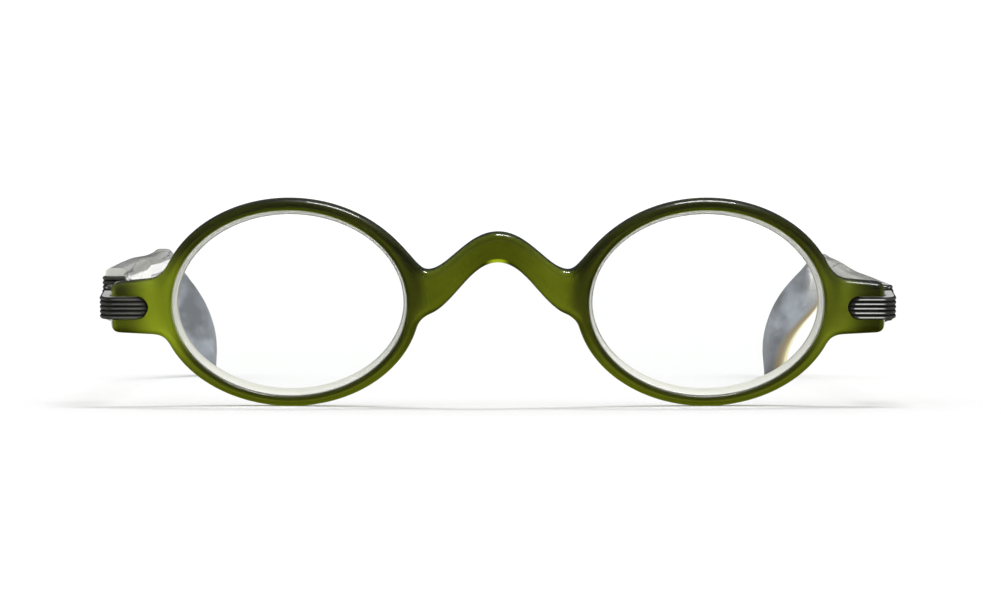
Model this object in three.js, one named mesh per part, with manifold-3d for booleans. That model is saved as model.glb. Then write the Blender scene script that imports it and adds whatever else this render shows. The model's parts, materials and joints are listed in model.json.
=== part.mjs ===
// Oval reading glasses: a green acetate front, clear lenses, ribbed hinge plates and clear temples.
// Millimetres, +Z up, the wearer looks towards -Y and the temples run back towards +Y.
// Front pieces are drawn flat (x across, y back, z up from the lens centres), then bowed and leaned.
import * as THREE from 'three';
import { mergeVertices } from 'three/addons/utils/BufferGeometryUtils.js';
import { TessellateModifier } from 'three/addons/modifiers/TessellateModifier.js';
import Module from 'manifold-3d';

const wasm = await Module();
wasm.setup();
const RAD = Math.PI / 180;

// Front
const LENS_X = 34.25;
const OPENING_A = 19.3;
const OPENING_B = 15.45;
const RIM_A = 21.6;
const RIM_B = 17.25;
const OVAL_TURN = 2.4 * RAD;
const FRONT_THICK = 4.0;
const FRONT_ROUND = 0.55;
const FRONT_BOW = 3.5;
const BOW_REACH = 52;
const END_X = 63.65;
const END_TOP = 3.2;
const END_BOTTOM = -5.1;
const END_CORNER = 1.0;
const RIM_STEPS = 48;

// Lenses
const LENS_EDGE = 19.8;
const LENS_FACE = 19.15;
const LENS_OVAL = 0.799;
const LENS_MID = 2.0;
const LENS_EDGE_THICK = 2.0;
const LENS_FRONT_RADIUS = 200;
const LENS_BACK_RADIUS = 200;
const GROOVE_CLEAR = 0.12;

// Hinge plates and hinge, from the end piece's front face and the hinge axis
const PLATE_THICK = 1.7;
const PLATE_PROUD = 0.5;
const PLATE_OUTER_X = 65.5;
const PLATE_Z = -0.8;
const PLATE_BEND = 0.2;
const PLATE_END_X = 57.5;
const RIB_PITCH = 0.75;
const RIB_DEPTH = 0.22;
const FRONT_RIBS = 5;
const TEMPLE_RIBS = 8;
const POCKET_CLEAR = 0.1;
const KNUCKLE_R = 1.35;
const KNUCKLE_H = 1.15;
const KNUCKLE_GAP = 0.1;
const HINGE_BACK = 8.0;
const PIN_R = 0.55;
const PIN_CLEAR = 0.06;
const RIVET_R = 0.5;
const RIVET_HEAD_R = 0.95;
const RIVET_HEAD_H = 0.45;

// Temples, from the hinge axis: x outwards, y back along the temple, z up
const TEMPLE_TILT = 7.25 * RAD;
const TEMPLE_INNER = -2.1;
const TEMPLE_OUTER = 1.4;
const TEMPLE_ROUND = 0.9;
const BUTT_Y = 1.95;
const BEND_START = 93.5;
const BEND_RADIUS = 41.5;
const BEND_ANGLE = 49 * RAD;
const TIP_LENGTH = 5;
const TEMPLE_PLATE_LENGTH = 14;
const TEMPLE_PLATE_THICK = 1.2;
const TEMPLE_PLATE_OUTER = 1.9;
const TIP_INSET = 6;
const INSET_FROM = 107.5;
const INSET_TO = 128.5;
const CORE_THICK = 0.9;
const CORE_CLEAR = 0.22;

// The temples are finished by hand and differ: how far past square each one stands open, how far its hinge
// end sits above the hinge's middle, how far its underside is drawn in along the side, how far its top edge
// is crowned, and how far its underside is fuller by the hinge
const SPLAY = { right: -1.1 * RAD, left: 0.4 * RAD };
const LIFT = { right: -0.75, left: 0.75 };
const SLIM = { right: 1.4, left: 1.65 };
const CROWN = { right: 0, left: 1.0 };
const BELLY = { right: 0, left: 1.3 };

// Depth of the small flats worn on the rims and temple ends where the glasses stand
const FLAT_DEPTH = 0.12;

const smooth = (from, to, value) => THREE.MathUtils.smoothstep(value, from, to);
const v2 = (x, y) => new THREE.Vector2(x, y);

// Geometry helpers

// Turns every triangle round if the closed surface encloses a negative volume.
function facingOut(geometry) {
  const bare = geometry.index ? geometry.toNonIndexed() : geometry.clone();
  bare.deleteAttribute('normal');
  bare.deleteAttribute('uv');
  const p = bare.attributes.position.array;
  let volume = 0;
  for (let i = 0; i < p.length; i += 9) {
    const a = new THREE.Vector3().fromArray(p, i);
    const b = new THREE.Vector3().fromArray(p, i + 3);
    const c = new THREE.Vector3().fromArray(p, i + 6);
    volume += a.dot(b.cross(c));
  }
  if (volume < 0) {
    for (let i = 0; i < p.length; i += 9) {
      const b = p.slice(i + 3, i + 6);
      p.copyWithin(i + 3, i + 6, i + 9);
      p.set(b, i + 6);
    }
  }
  return mergeVertices(bare, 1e-4);
}

function solid(geometry) {
  const closed = facingOut(geometry);
  return new wasm.Manifold(new wasm.Mesh({
    numProp: 3,
    vertProperties: new Float32Array(closed.attributes.position.array),
    triVerts: new Uint32Array(closed.index.array),
  }));
}

function geometryOf(made) {
  const mesh = made.getMesh();
  const geometry = new THREE.BufferGeometry();
  geometry.setAttribute('position', new THREE.BufferAttribute(new Float32Array(mesh.vertProperties), 3));
  geometry.setIndex(new THREE.BufferAttribute(new Uint32Array(mesh.triVerts), 1));
  return geometry;
}

function cut(made, ...tools) {
  return tools.reduce((left, tool) => left.subtract(solid(tool)), made);
}

function join(made, ...others) {
  return others.reduce((all, other) => all.add(solid(other)), made);
}

function mapped(geometry, move) {
  const out = geometry.clone();
  const p = out.attributes.position;
  const point = new THREE.Vector3();
  for (let i = 0; i < p.count; i += 1) {
    move(point.fromBufferAttribute(p, i));
    p.setXYZ(i, point.x, point.y, point.z);
  }
  return out;
}

function mirrored(geometry) {
  return facingOut(mapped(geometry, (p) => p.setX(-p.x)));
}

// Splits edges longer than `length`, so that a surface can be bent smoothly.
function fine(geometry, length) {
  const bare = geometry.index ? geometry.toNonIndexed() : geometry.clone();
  bare.deleteAttribute('normal');
  bare.deleteAttribute('uv');
  return mergeVertices(new TessellateModifier(length, 8).modify(bare), 1e-4);
}

// An outline in x and z, given a thickness from y = from to y = to.
function slab(shape, from, to, round = 0, size = round, steps = 2) {
  const geometry = new THREE.ExtrudeGeometry(shape, {
    depth: to - from - 2 * round,
    bevelEnabled: round > 0,
    bevelThickness: round,
    bevelSize: size,
    bevelOffset: -size,
    bevelSegments: steps,
    curveSegments: 12,
  });
  return geometry.rotateX(Math.PI / 2).translate(0, to - round, 0);
}

// An outline in y and z, given a thickness from x = from to x = to.
function panel(shape, from, to, round = 0, size = round, steps = 2) {
  const geometry = new THREE.ExtrudeGeometry(shape, {
    depth: to - from - 2 * round,
    bevelEnabled: round > 0,
    bevelThickness: round,
    bevelSize: size,
    bevelOffset: -size,
    bevelSegments: steps,
    curveSegments: 12,
  });
  return geometry.rotateX(Math.PI / 2).rotateZ(Math.PI / 2).translate(from + round, 0, 0);
}

function rod(radius, from, to, axis, at, segments = 20) {
  const geometry = new THREE.CylinderGeometry(radius, radius, to - from, segments);
  geometry.translate(0, (from + to) / 2, 0);
  if (axis === 'z') geometry.rotateX(Math.PI / 2);
  if (axis === 'x') geometry.rotateZ(-Math.PI / 2);
  return geometry.translate(...at);
}

function block(x0, x1, y0, y1, z0, z1) {
  const geometry = new THREE.BoxGeometry(x1 - x0, y1 - y0, z1 - z0);
  return geometry.translate((x0 + x1) / 2, (y0 + y1) / 2, (z0 + z1) / 2);
}

// A domed rivet: the shank runs along +y from 0 and the head sits on its far end.
function rivet(length) {
  const rim = length + 0.15;
  const top = length + RIVET_HEAD_H;
  const profile = [
    v2(0, 0),
    v2(RIVET_R, 0),
    v2(RIVET_R, length),
    v2(RIVET_HEAD_R, length),
    v2(RIVET_HEAD_R, rim),
    v2(RIVET_HEAD_R * 0.6, top - 0.06),
    v2(0, top),
  ];
  return facingOut(new THREE.LatheGeometry(profile, 16));
}

// The outer side of a plate carries convex ribs; a profile point is (depth below the crests, height).
function ribbedProfile(ribs, thick) {
  const height = ribs * RIB_PITCH;
  const points = [v2(thick, -height / 2), v2(thick, height / 2)];
  for (let i = 0; i <= ribs * 4; i += 1) {
    const depth = RIB_DEPTH * (1 - Math.abs(Math.sin((i / 4) * Math.PI)));
    points.push(v2(depth, height / 2 - (i * RIB_PITCH) / 4));
  }
  return points;
}

// Carries a profile along stations in the x-y plane; each station is a point and its outward normal.
function swept(profile, stations) {
  const positions = [];
  const index = [];
  const n = profile.length;
  stations.forEach(({ at, out }) => {
    profile.forEach((p) => positions.push(at.x - out.x * p.x, at.y - out.y * p.x, p.y));
  });
  for (let s = 0; s + 1 < stations.length; s += 1) {
    for (let i = 0; i < n; i += 1) {
      const a = s * n + i;
      const b = s * n + ((i + 1) % n);
      index.push(a, b, a + n, b, b + n, a + n);
    }
  }
  const last = (stations.length - 1) * n;
  THREE.ShapeUtils.triangulateShape(profile, []).forEach(([a, b, c]) => {
    index.push(a, c, b, last + a, last + b, last + c);
  });
  const geometry = new THREE.BufferGeometry();
  geometry.setAttribute('position', new THREE.Float32BufferAttribute(positions, 3));
  geometry.setIndex(index);
  return facingOut(geometry);
}

// Joins rings of equal length into one closed skin with flat ends.
function loft(rings) {
  const n = rings[0].length;
  const positions = rings.flat().flatMap((p) => p.toArray());
  const index = [];
  for (let r = 0; r + 1 < rings.length; r += 1) {
    for (let i = 0; i < n; i += 1) {
      const a = r * n + i;
      const b = r * n + ((i + 1) % n);
      index.push(a, b, a + n, b, b + n, a + n);
    }
  }
  const last = (rings.length - 1) * n;
  for (let i = 1; i + 1 < n; i += 1) index.push(0, i + 1, i, last, last + i, last + i + 1);
  const geometry = new THREE.BufferGeometry();
  geometry.setAttribute('position', new THREE.Float32BufferAttribute(positions, 3));
  geometry.setIndex(index);
  return facingOut(geometry);
}

// A rounded oblong of half width `wide` and half height `high`, as a list of points.
function oblong(wide, high, round) {
  const points = [];
  [[1, 1, 0], [-1, 1, 90], [-1, -1, 180], [1, -1, 270]].forEach(([x, y, from]) => {
    (round > 0 ? [0, 30, 60, 90] : [45]).forEach((deg) => {
      const turn = (from + deg) * RAD;
      const arm = round > 0 ? round : 0;
      points.push(v2(x * (wide - arm) + arm * Math.cos(turn), y * (high - arm) + arm * Math.sin(turn)));
    });
  });
  return points;
}

// A bent plate: a face leg towards -y whose end is at x = inner, a corner, and a side leg to y = back.
function bentPlate(ribs, thick, outer, face, inner, back) {
  const stations = [{ at: v2(inner, face), out: v2(0, -1) }];
  const corner = thick + PLATE_BEND;
  const centre = v2(outer - corner, face + corner);
  for (let i = 0; i <= 5; i += 1) {
    const turn = (i / 5 - 1) * (Math.PI / 2);
    const out = v2(Math.cos(turn), Math.sin(turn));
    stations.push({ at: centre.clone().addScaledVector(out, corner), out });
  }
  stations.push({ at: v2(outer, back), out: v2(1, 0) });
  return solid(swept(ribbedProfile(ribs, thick), stations));
}

// A bullet outline along +x: round end at 0, square end at `length`.
function bullet(length, half) {
  const shape = new THREE.Shape();
  shape.moveTo(length, half);
  shape.lineTo(half, half);
  shape.absarc(half, 0, half, Math.PI / 2, Math.PI * 1.5, false);
  shape.lineTo(length, -half);
  return shape;
}

// Front

// A point of an oval round the right lens centre; the ovals are turned a little, with the nose side up.
function ovalPoint(a, b, deg) {
  const x = a * Math.cos(deg * RAD);
  const z = b * Math.sin(deg * RAD);
  return v2(
    LENS_X + x * Math.cos(OVAL_TURN) + z * Math.sin(OVAL_TURN),
    z * Math.cos(OVAL_TURN) - x * Math.sin(OVAL_TURN),
  );
}

// The right half of the front's outline, from the bridge's top round the rim to the bridge's underside.
function frontOutline() {
  const rimPoint = (deg) => ovalPoint(RIM_A, RIM_B, deg);
  const curve = (a, b, c, d, n) => new THREE.CubicBezierCurve(a, b, c, d).getPoints(n);
  const arc = (from, to, n) => {
    const points = [];
    for (let i = 0; i <= n; i += 1) points.push(rimPoint(from + ((to - from) * i) / n));
    return points;
  };
  const corner = (x, y, from, to) => {
    const points = [];
    for (let i = 0; i <= 4; i += 1) {
      const turn = (from + ((to - from) * i) / 4) * RAD;
      points.push(v2(x + END_CORNER * Math.cos(turn), y + END_CORNER * Math.sin(turn)));
    }
    return points;
  };
  const right = [
    curve(v2(0, 12.1), v2(5.2, 12.1), v2(8.2, 5.75), v2(11.6, 5.75), 9),
    curve(v2(11.6, 5.75), v2(13.6, 5.75), v2(15.5, 11.55), rimPoint(122), 7),
    arc(122, 25, 13),
    curve(rimPoint(25), v2(54.85, 5.06), v2(55.8, 3.75), v2(57.7, 3.65), 5),
    corner(END_X - END_CORNER, END_TOP - END_CORNER, 86, 0),
    corner(END_X - END_CORNER, END_BOTTOM + END_CORNER, 0, -86),
    curve(v2(57.7, -5.35), v2(56.1, -5.42), v2(55.0, -5.42), rimPoint(-21), 5),
    arc(-21, -165, 18),
    curve(rimPoint(-165), v2(13.0, -2.87), v2(12.4, -1.85), v2(10.5, -1.15), 4),
    curve(v2(10.5, -1.15), v2(6.6, 1.2), v2(4.2, 7.2), v2(0, 7.2), 9),
  ].flat();
  const left = right.slice().reverse().map((p) => v2(-p.x, p.y));
  const all = [...right, ...left];
  return all.filter((p, i) => p.distanceTo(all[(i + all.length - 1) % all.length]) > 0.02);
}

function lensProfile() {
  const sag = (r, radius) => (r * r - LENS_FACE ** 2) / (2 * radius);
  const front = (r) => LENS_MID - LENS_EDGE_THICK / 2 + sag(r, LENS_FRONT_RADIUS);
  const back = (r) => LENS_MID + LENS_EDGE_THICK / 2 + sag(r, LENS_BACK_RADIUS);
  const rings = [0, 0.5, 1].map((part) => part * LENS_FACE);
  return [
    ...rings.map((r) => v2(r, front(r))),
    v2(LENS_EDGE, LENS_MID),
    ...rings.reverse().map((r) => v2(r, back(r))),
  ];
}

function atLens(geometry) {
  return geometry.scale(1, 1, LENS_OVAL).rotateY(OVAL_TURN).translate(LENS_X, 0, 0);
}

function lensGeometry() {
  return atLens(facingOut(new THREE.LatheGeometry(lensProfile(), RIM_STEPS)));
}

function grooveTool() {
  const far = LENS_EDGE + GROOVE_CLEAR;
  const profile = [
    v2(0, LENS_MID - 1.25),
    v2(LENS_FACE - 0.1, LENS_MID - 1.25),
    v2(far, LENS_MID - 0.1),
    v2(far, LENS_MID + 0.1),
    v2(LENS_FACE - 0.1, LENS_MID + 1.25),
    v2(0, LENS_MID + 1.25),
  ];
  return atLens(new THREE.LatheGeometry(profile, RIM_STEPS));
}

function bowed(geometry) {
  return mapped(geometry, (p) => p.setY(p.y + FRONT_BOW * smooth(0, BOW_REACH, Math.abs(p.x))));
}

const frontRivetX = [59.4, 61.8];
const platePocketFloor = PLATE_THICK - PLATE_PROUD + POCKET_CLEAR;

function frontGeometry() {
  const shape = new THREE.Shape(frontOutline());
  [1, -1].forEach((sign) => {
    const ring = [];
    for (let i = 0; i < RIM_STEPS; i += 1) {
      const p = ovalPoint(OPENING_A, OPENING_B, (sign * i * 360) / RIM_STEPS);
      ring.push(v2(sign * p.x, p.y));
    }
    shape.holes.push(new THREE.Path(ring));
  });
  const half = (FRONT_RIBS * RIB_PITCH) / 2 + POCKET_CLEAR;
  const pocket = slab(bullet(12, half), -2, platePocketFloor);
  pocket.translate(PLATE_END_X - POCKET_CLEAR, 0, PLATE_Z);
  const tools = [grooveTool(), pocket];
  frontRivetX.forEach((x) => tools.push(rod(RIVET_R + 0.1, -1, 6, 'y', [x, 0, PLATE_Z], 16)));
  const blank = solid(slab(shape, 0, FRONT_THICK, FRONT_ROUND, FRONT_ROUND * 0.8));
  const drilled = cut(blank, ...tools, ...tools.map(mirrored));
  return bowed(fine(geometryOf(drilled), 9));
}

// Hinge plates, right side: the front plate from the end piece's front face, the other from the hinge axis

const AXIS_X = PLATE_OUTER_X - KNUCKLE_R;
const PLATE_BACK_X = TEMPLE_PLATE_OUTER - TEMPLE_PLATE_THICK;
const pinHole = rod(PIN_R + PIN_CLEAR, -4, 4, 'z', [0, 0, 0], 20);

function frontPlateGeometry() {
  const half = (FRONT_RIBS * RIB_PITCH) / 2;
  const legEnd = HINGE_BACK - KNUCKLE_R - 0.25;
  const trim = slab(bullet(12, half + 0.01), -3, 20).translate(PLATE_END_X, 0, 0);
  const bent = bentPlate(FRONT_RIBS, PLATE_THICK, PLATE_OUTER_X, -PLATE_PROUD, PLATE_END_X, legEnd);
  let plate = bent.intersect(solid(trim));
  [1, -1].forEach((side) => {
    const z = [side * (half - KNUCKLE_H), side * half].sort((a, b) => a - b);
    plate = join(
      plate,
      rod(KNUCKLE_R, ...z, 'z', [AXIS_X, HINGE_BACK, 0], 24),
      block(AXIS_X, PLATE_OUTER_X, legEnd - 0.6, HINGE_BACK, ...z),
    );
  });
  plate = cut(plate, pinHole.clone().translate(AXIS_X, HINGE_BACK, 0));
  return geometryOf(plate).translate(0, FRONT_BOW, PLATE_Z);
}

function templePlateGeometry(side) {
  const half = (TEMPLE_RIBS * RIB_PITCH) / 2;
  const middle = (FRONT_RIBS * RIB_PITCH) / 2 - KNUCKLE_H - KNUCKLE_GAP;
  const back = BUTT_Y + TEMPLE_PLATE_LENGTH;
  const trim = panel(bullet(30, half + 0.01), -6, 4).scale(1, -1, 1).translate(0, back, 0);
  const bent = bentPlate(
    TEMPLE_RIBS,
    TEMPLE_PLATE_THICK,
    TEMPLE_PLATE_OUTER,
    BUTT_Y,
    TEMPLE_INNER + 0.15,
    back,
  );
  const plate = solid(geometryOf(bent.intersect(solid(trim))).translate(0, 0, LIFT[side]));
  const hinge = [
    rod(KNUCKLE_R, -middle, middle, 'z', [0, 0, 0], 24),
    block(-0.9, 1.1, 0, BUTT_Y + 0.7, -middle, middle),
  ].map((piece) => piece.rotateX(TEMPLE_TILT));
  const bore = pinHole.clone().rotateX(TEMPLE_TILT);
  return geometryOf(cut(join(plate, ...hinge), bore));
}

function pinGeometry() {
  const half = (FRONT_RIBS * RIB_PITCH) / 2;
  const profile = [
    v2(0, -half),
    v2(PIN_R, -half),
    v2(PIN_R, half + 0.05),
    v2(1.0, half + 0.05),
    v2(1.0, half + 0.3),
    v2(0.75, half + 0.5),
    v2(0, half + 0.5),
  ];
  const screw = solid(new THREE.LatheGeometry(profile, 20).rotateX(Math.PI / 2));
  return geometryOf(cut(screw, block(-2, 2, -0.14, 0.14, half + 0.25, half + 1)));
}

// Temples, right side, in the temple's own frame

const BEND_END = BEND_START + BEND_RADIUS * BEND_ANGLE;
const TEMPLE_END = BEND_END + TIP_LENGTH;

// Centre line seen from the side: straight, an arc downwards, then straight to the tip.
function templeLine(s) {
  const turn = Math.min(Math.max(s - BEND_START, 0) / BEND_RADIUS, BEND_ANGLE);
  const at = v2(Math.min(s, BEND_START), 0);
  at.add(v2(BEND_RADIUS * Math.sin(turn), BEND_RADIUS * (Math.cos(turn) - 1)));
  const along = v2(Math.cos(turn), -Math.sin(turn));
  at.addScaledVector(along, Math.max(s - BEND_END, 0));
  return { at, along, up: v2(-along.y, along.x) };
}

// Along the side the underside is drawn in, which raises the middle. A crown raises the top edge alone, and a
// belly lowers the underside alone.
const slim = (s, side) => SLIM[side] * smooth(43, 54, s) * (1 - smooth(88, 116, s));
const crown = (s, side) => CROWN[side] * (1 - smooth(100, 126, s));
const belly = (s, side) => BELLY[side] * (1 - smooth(43, 54, s));
const coreHeight = (s, side) => LIFT[side] * (1 - smooth(40, 80, s)) + slim(s, side);
const templeHeight = (s, side) => coreHeight(s, side) + (crown(s, side) - belly(s, side)) / 2;
const fullHalf = (s) => 3.3 - 0.2 * smooth(20, 60, s) + 1.5 * smooth(86, 123, s);
const templeHalf = (s, side) => fullHalf(s) - slim(s, side) + (crown(s, side) + belly(s, side)) / 2;
const coreHalf = (s) => 0.55 + 0.2 * smooth(20, 60, s) + 1.75 * smooth(90, 124, s);
const templeMid = (TEMPLE_INNER + TEMPLE_OUTER) / 2;

// The temple is thinner along the side than at the hinge and the tip, and the tip is set inwards.
const templeThin = (y) => 1 - 0.15 * smooth(24, 90, y) + 0.3 * smooth(104, 126, y);
const templeInset = (y) => -TIP_INSET * smooth(INSET_FROM, INSET_TO, y);

// A bar from `start` to `end` at a height above the centre line: rounded-oblong sections, round end if asked.
function bar(half, height, thick, corner, start, end, roundEnd) {
  const along = [12, 24, 38, 44, 49, 54, 60, 74, 88, 94, 99, 104, 108, 112, 116, 120, 124, 128, 132];
  const stops = [start, ...along.filter((s) => s > start && s < end), end];
  const list = stops.map((s) => ({ s, high: half(s), wide: 1 }));
  if (roundEnd) {
    [25, 50, 70, 85].forEach((deg) => {
      const high = half(end) * Math.cos(deg * RAD);
      list.push({ s: end + half(end) * Math.sin(deg * RAD), high, wide: 0.55 + 0.45 * Math.cos(deg * RAD) });
    });
  }
  const rings = list.map(({ s, high, wide }) => {
    const { at, up } = templeLine(s);
    const side = (thick * templeThin(at.x) * wide) / 2;
    const round = Math.min(corner, high * 0.9, side * 0.9);
    return oblong(side, high, round).map((p) => {
      const spot = at.clone().addScaledVector(up, p.y + height(s));
      return new THREE.Vector3(templeMid + templeInset(at.x) + p.x, spot.x, spot.y);
    });
  });
  return loft(rings);
}

const coreStart = BUTT_Y + TEMPLE_PLATE_THICK + 0.4;
const coreEnd = TEMPLE_END - 3.2;
const templeStart = BUTT_Y + TEMPLE_PLATE_THICK + 0.15;
const templeRivets = [[8.2, 1.35], [11.8, -1.35]];

function templeGeometry(side) {
  const thick = TEMPLE_OUTER - TEMPLE_INNER;
  const outerHalf = (s) => templeHalf(s, side);
  const outerHeight = (s) => templeHeight(s, side);
  const blank = bar(outerHalf, outerHeight, thick, TEMPLE_ROUND, templeStart, TEMPLE_END, true);
  const slotHalf = (s) => coreHalf(s) + CORE_CLEAR;
  const slotHeight = (s) => coreHeight(s, side);
  const slot = bar(slotHalf, slotHeight, CORE_THICK + 2 * CORE_CLEAR, 0, 0, coreEnd + CORE_CLEAR, false);
  const half = (TEMPLE_RIBS * RIB_PITCH) / 2 + POCKET_CLEAR;
  const back = BUTT_Y + TEMPLE_PLATE_LENGTH + POCKET_CLEAR;
  const seat = panel(bullet(30, half), PLATE_BACK_X - POCKET_CLEAR, 4).scale(1, -1, 1);
  seat.translate(0, back, LIFT[side]);
  const holes = templeRivets.map(([y, z]) => rod(RIVET_R + 0.1, -6, 4, 'x', [0, y, z + LIFT[side]], 16));
  return geometryOf(cut(solid(blank), slot, seat, ...holes));
}

function coreGeometry(side) {
  return bar(coreHalf, (s) => coreHeight(s, side), CORE_THICK, 0, coreStart, coreEnd, false);
}

// Materials, one for each piece

const acetate = () => new THREE.MeshStandardMaterial({ color: 0x5b6a12, roughness: 0.15 });
const crystal = () => new THREE.MeshStandardMaterial({ color: 0xdfe2de, roughness: 0.1 });
const glass = () => new THREE.MeshStandardMaterial({ color: 0xe9f1ee, roughness: 0.05 });
const gunmetal = () => new THREE.MeshStandardMaterial({ color: 0x33353a, roughness: 0.35, metalness: 1 });
const steel = () => new THREE.MeshStandardMaterial({ color: 0x9a9ea6, roughness: 0.4, metalness: 1 });

function piece(name, geometry, material) {
  const mesh = new THREE.Mesh(facingOut(geometry), material);
  mesh.name = name;
  return mesh;
}

// Assembly

const group = new THREE.Group();
group.name = 'reading_glasses';
const front = new THREE.Group();
front.name = 'front';
group.add(front);

const frontFrame = piece('front_frame', frontGeometry(), acetate());
front.add(frontFrame);
const temples = [];

const lens = bowed(lensGeometry());
const frontPlate = frontPlateGeometry();
const pin = pinGeometry();
const frontRivet = rivet(FRONT_THICK + 0.05 - platePocketFloor).translate(0, platePocketFloor + 0.05, 0);
const sideRivet = rivet(PLATE_BACK_X - 0.15 - TEMPLE_INNER + 0.05).rotateZ(Math.PI / 2);

[['right', 1], ['left', -1]].forEach(([side, sign]) => {
  const turned = (geometry) => (sign > 0 ? geometry : mirrored(geometry));
  const hinge = new THREE.Group();
  hinge.name = `${side}_hinge`;
  hinge.position.set(sign * AXIS_X, FRONT_BOW + HINGE_BACK, PLATE_Z);
  const arm = new THREE.Group();
  arm.name = `${side}_arm`;
  arm.rotation.x = -TEMPLE_TILT;
  hinge.rotation.z = -sign * SPLAY[side];
  hinge.add(arm);
  front.add(hinge);

  front.add(piece(`${side}_lens`, turned(lens), glass()));
  front.add(piece(`${side}_front_plate`, turned(frontPlate), gunmetal()));
  frontRivetX.forEach((x, i) => {
    const placed = frontRivet.clone().translate(x, FRONT_BOW, PLATE_Z);
    front.add(piece(`${side}_front_rivet_${i + 1}`, turned(placed), steel()));
  });
  hinge.add(piece(`${side}_hinge_screw`, turned(pin), steel()));

  const body = piece(`${side}_temple`, turned(templeGeometry(side)), crystal());
  arm.add(body);
  temples.push(body);
  arm.add(piece(`${side}_temple_core`, turned(coreGeometry(side)), steel()));
  arm.add(piece(`${side}_temple_plate`, turned(templePlateGeometry(side)), gunmetal()));
  templeRivets.forEach(([y, z], i) => {
    const placed = sideRivet.clone().translate(PLATE_BACK_X - 0.15, y, z + LIFT[side]);
    arm.add(piece(`${side}_temple_rivet_${i + 1}`, turned(placed), steel()));
  });
});

// How the glasses stand: the lean at which the rims and both temple tips touch the floor together

function lowest(mesh) {
  return new THREE.Box3().setFromObject(mesh, true).min.z;
}

let low = 0;
let high = 20 * RAD;
for (let i = 0; i < 30; i += 1) {
  front.rotation.x = (low + high) / 2;
  group.updateMatrixWorld(true);
  if (lowest(temples[0]) < lowest(frontFrame)) low = front.rotation.x;
  else high = front.rotation.x;
}
front.position.z = -lowest(frontFrame) - FLAT_DEPTH;
group.updateMatrixWorld(true);

[frontFrame, ...temples].forEach((mesh) => {
  const floor = block(-200, 200, -200, 300, -20, 0).applyMatrix4(mesh.matrixWorld.clone().invert());
  mesh.geometry = geometryOf(cut(solid(mesh.geometry), floor));
});

const box = new THREE.Box3().setFromObject(group, true);
front.position.x = -(box.min.x + box.max.x) / 2;
front.position.y = -(box.min.y + box.max.y) / 2;
group.updateMatrixWorld(true);
group.traverse((item) => {
  if (item.isMesh) item.geometry.computeVertexNormals();
});

export default group;
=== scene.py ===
# %% [markdown]
# # Oval reading glasses
# A green acetate front with two lenses, reeded metal hinge plates and clear temples with a flat metal core.
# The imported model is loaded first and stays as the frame. Each of its plain solids is then replaced by a
# finer piece that is worked out from the same dimensions, in the same place, and rides on the same body.

# %% Load the frame
import json
from math import atan2, cos, pi, radians, sin

import bmesh
import bpy
import numpy as np
from mathutils.geometry import delaunay_2d_cdt
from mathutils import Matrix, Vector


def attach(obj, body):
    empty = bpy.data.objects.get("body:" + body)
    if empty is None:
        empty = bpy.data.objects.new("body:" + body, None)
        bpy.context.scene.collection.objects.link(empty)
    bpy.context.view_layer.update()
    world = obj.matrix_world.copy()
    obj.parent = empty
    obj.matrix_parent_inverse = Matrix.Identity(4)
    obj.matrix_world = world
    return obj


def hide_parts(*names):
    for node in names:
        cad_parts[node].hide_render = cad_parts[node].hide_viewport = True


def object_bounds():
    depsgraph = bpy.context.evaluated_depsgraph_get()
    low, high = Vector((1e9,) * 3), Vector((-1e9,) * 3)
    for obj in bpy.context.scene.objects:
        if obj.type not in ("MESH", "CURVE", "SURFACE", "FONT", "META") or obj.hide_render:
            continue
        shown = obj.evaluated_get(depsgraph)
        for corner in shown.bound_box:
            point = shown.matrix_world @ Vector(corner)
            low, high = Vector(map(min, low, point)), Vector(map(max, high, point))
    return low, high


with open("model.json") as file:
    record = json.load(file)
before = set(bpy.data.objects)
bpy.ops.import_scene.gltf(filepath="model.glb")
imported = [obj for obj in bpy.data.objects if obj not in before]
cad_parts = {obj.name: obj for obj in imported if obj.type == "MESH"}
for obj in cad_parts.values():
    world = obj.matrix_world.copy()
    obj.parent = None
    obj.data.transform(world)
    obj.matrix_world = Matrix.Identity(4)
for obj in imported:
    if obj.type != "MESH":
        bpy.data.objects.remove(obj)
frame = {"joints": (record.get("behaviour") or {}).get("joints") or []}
cad_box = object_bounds()

# %% [markdown]
# ## Where things stand
# The glasses lean forward a little, because they stand on the lower rims and on the temple tips. The two
# hinge joints of the frame give that lean and the places of the hinge axes, so nothing is measured twice.
# Pieces of the front are drawn flat, in millimetres: x across, y back and z up from the lens centres. Pieces
# of a temple are drawn from its hinge axis: x outwards, y back along the temple, z up.

# %% The front's place and the temples' places
MM = 0.001
BOW = 3.5
BOW_REACH = 52.0
HINGE_BACK = 8.0
HINGE_DROP = -0.8
TEMPLE_TILT = radians(7.25)
SPLAY = {"right": radians(-1.1), "left": radians(0.4)}
SIGN = {"right": 1, "left": -1}

joints = {joint["name"]: joint for joint in frame["joints"]}
HINGE_AT = {side: np.array(joints[f"{side}_temple_fold"]["pos_m"]) / MM for side in SIGN}
fold_axis = joints["right_temple_fold"]["axis"]
LEAN = atan2(-fold_axis[1], fold_axis[2])
AXIS_X = (HINGE_AT["right"][0] - HINGE_AT["left"][0]) / 2


def smooth(start, end, value):
    """Goes from 0 at start to 1 at end along 3t squared less 2t cubed."""
    t = np.clip((value - start) / (end - start), 0, 1)
    return t * t * (3 - 2 * t)


def turned(points, axis, angle):
    """Points turned about the x or z axis: the other two coordinates mix by the angle's cosine and sine."""
    a, b = {"x": (1, 2), "z": (0, 1)}[axis]
    out = np.array(points, dtype=float)
    out[..., a] = points[..., a] * cos(angle) - points[..., b] * sin(angle)
    out[..., b] = points[..., a] * sin(angle) + points[..., b] * cos(angle)
    return out


FRONT_AT = HINGE_AT["right"] - turned(np.array([AXIS_X, BOW + HINGE_BACK, HINGE_DROP]), "x", LEAN)


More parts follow.
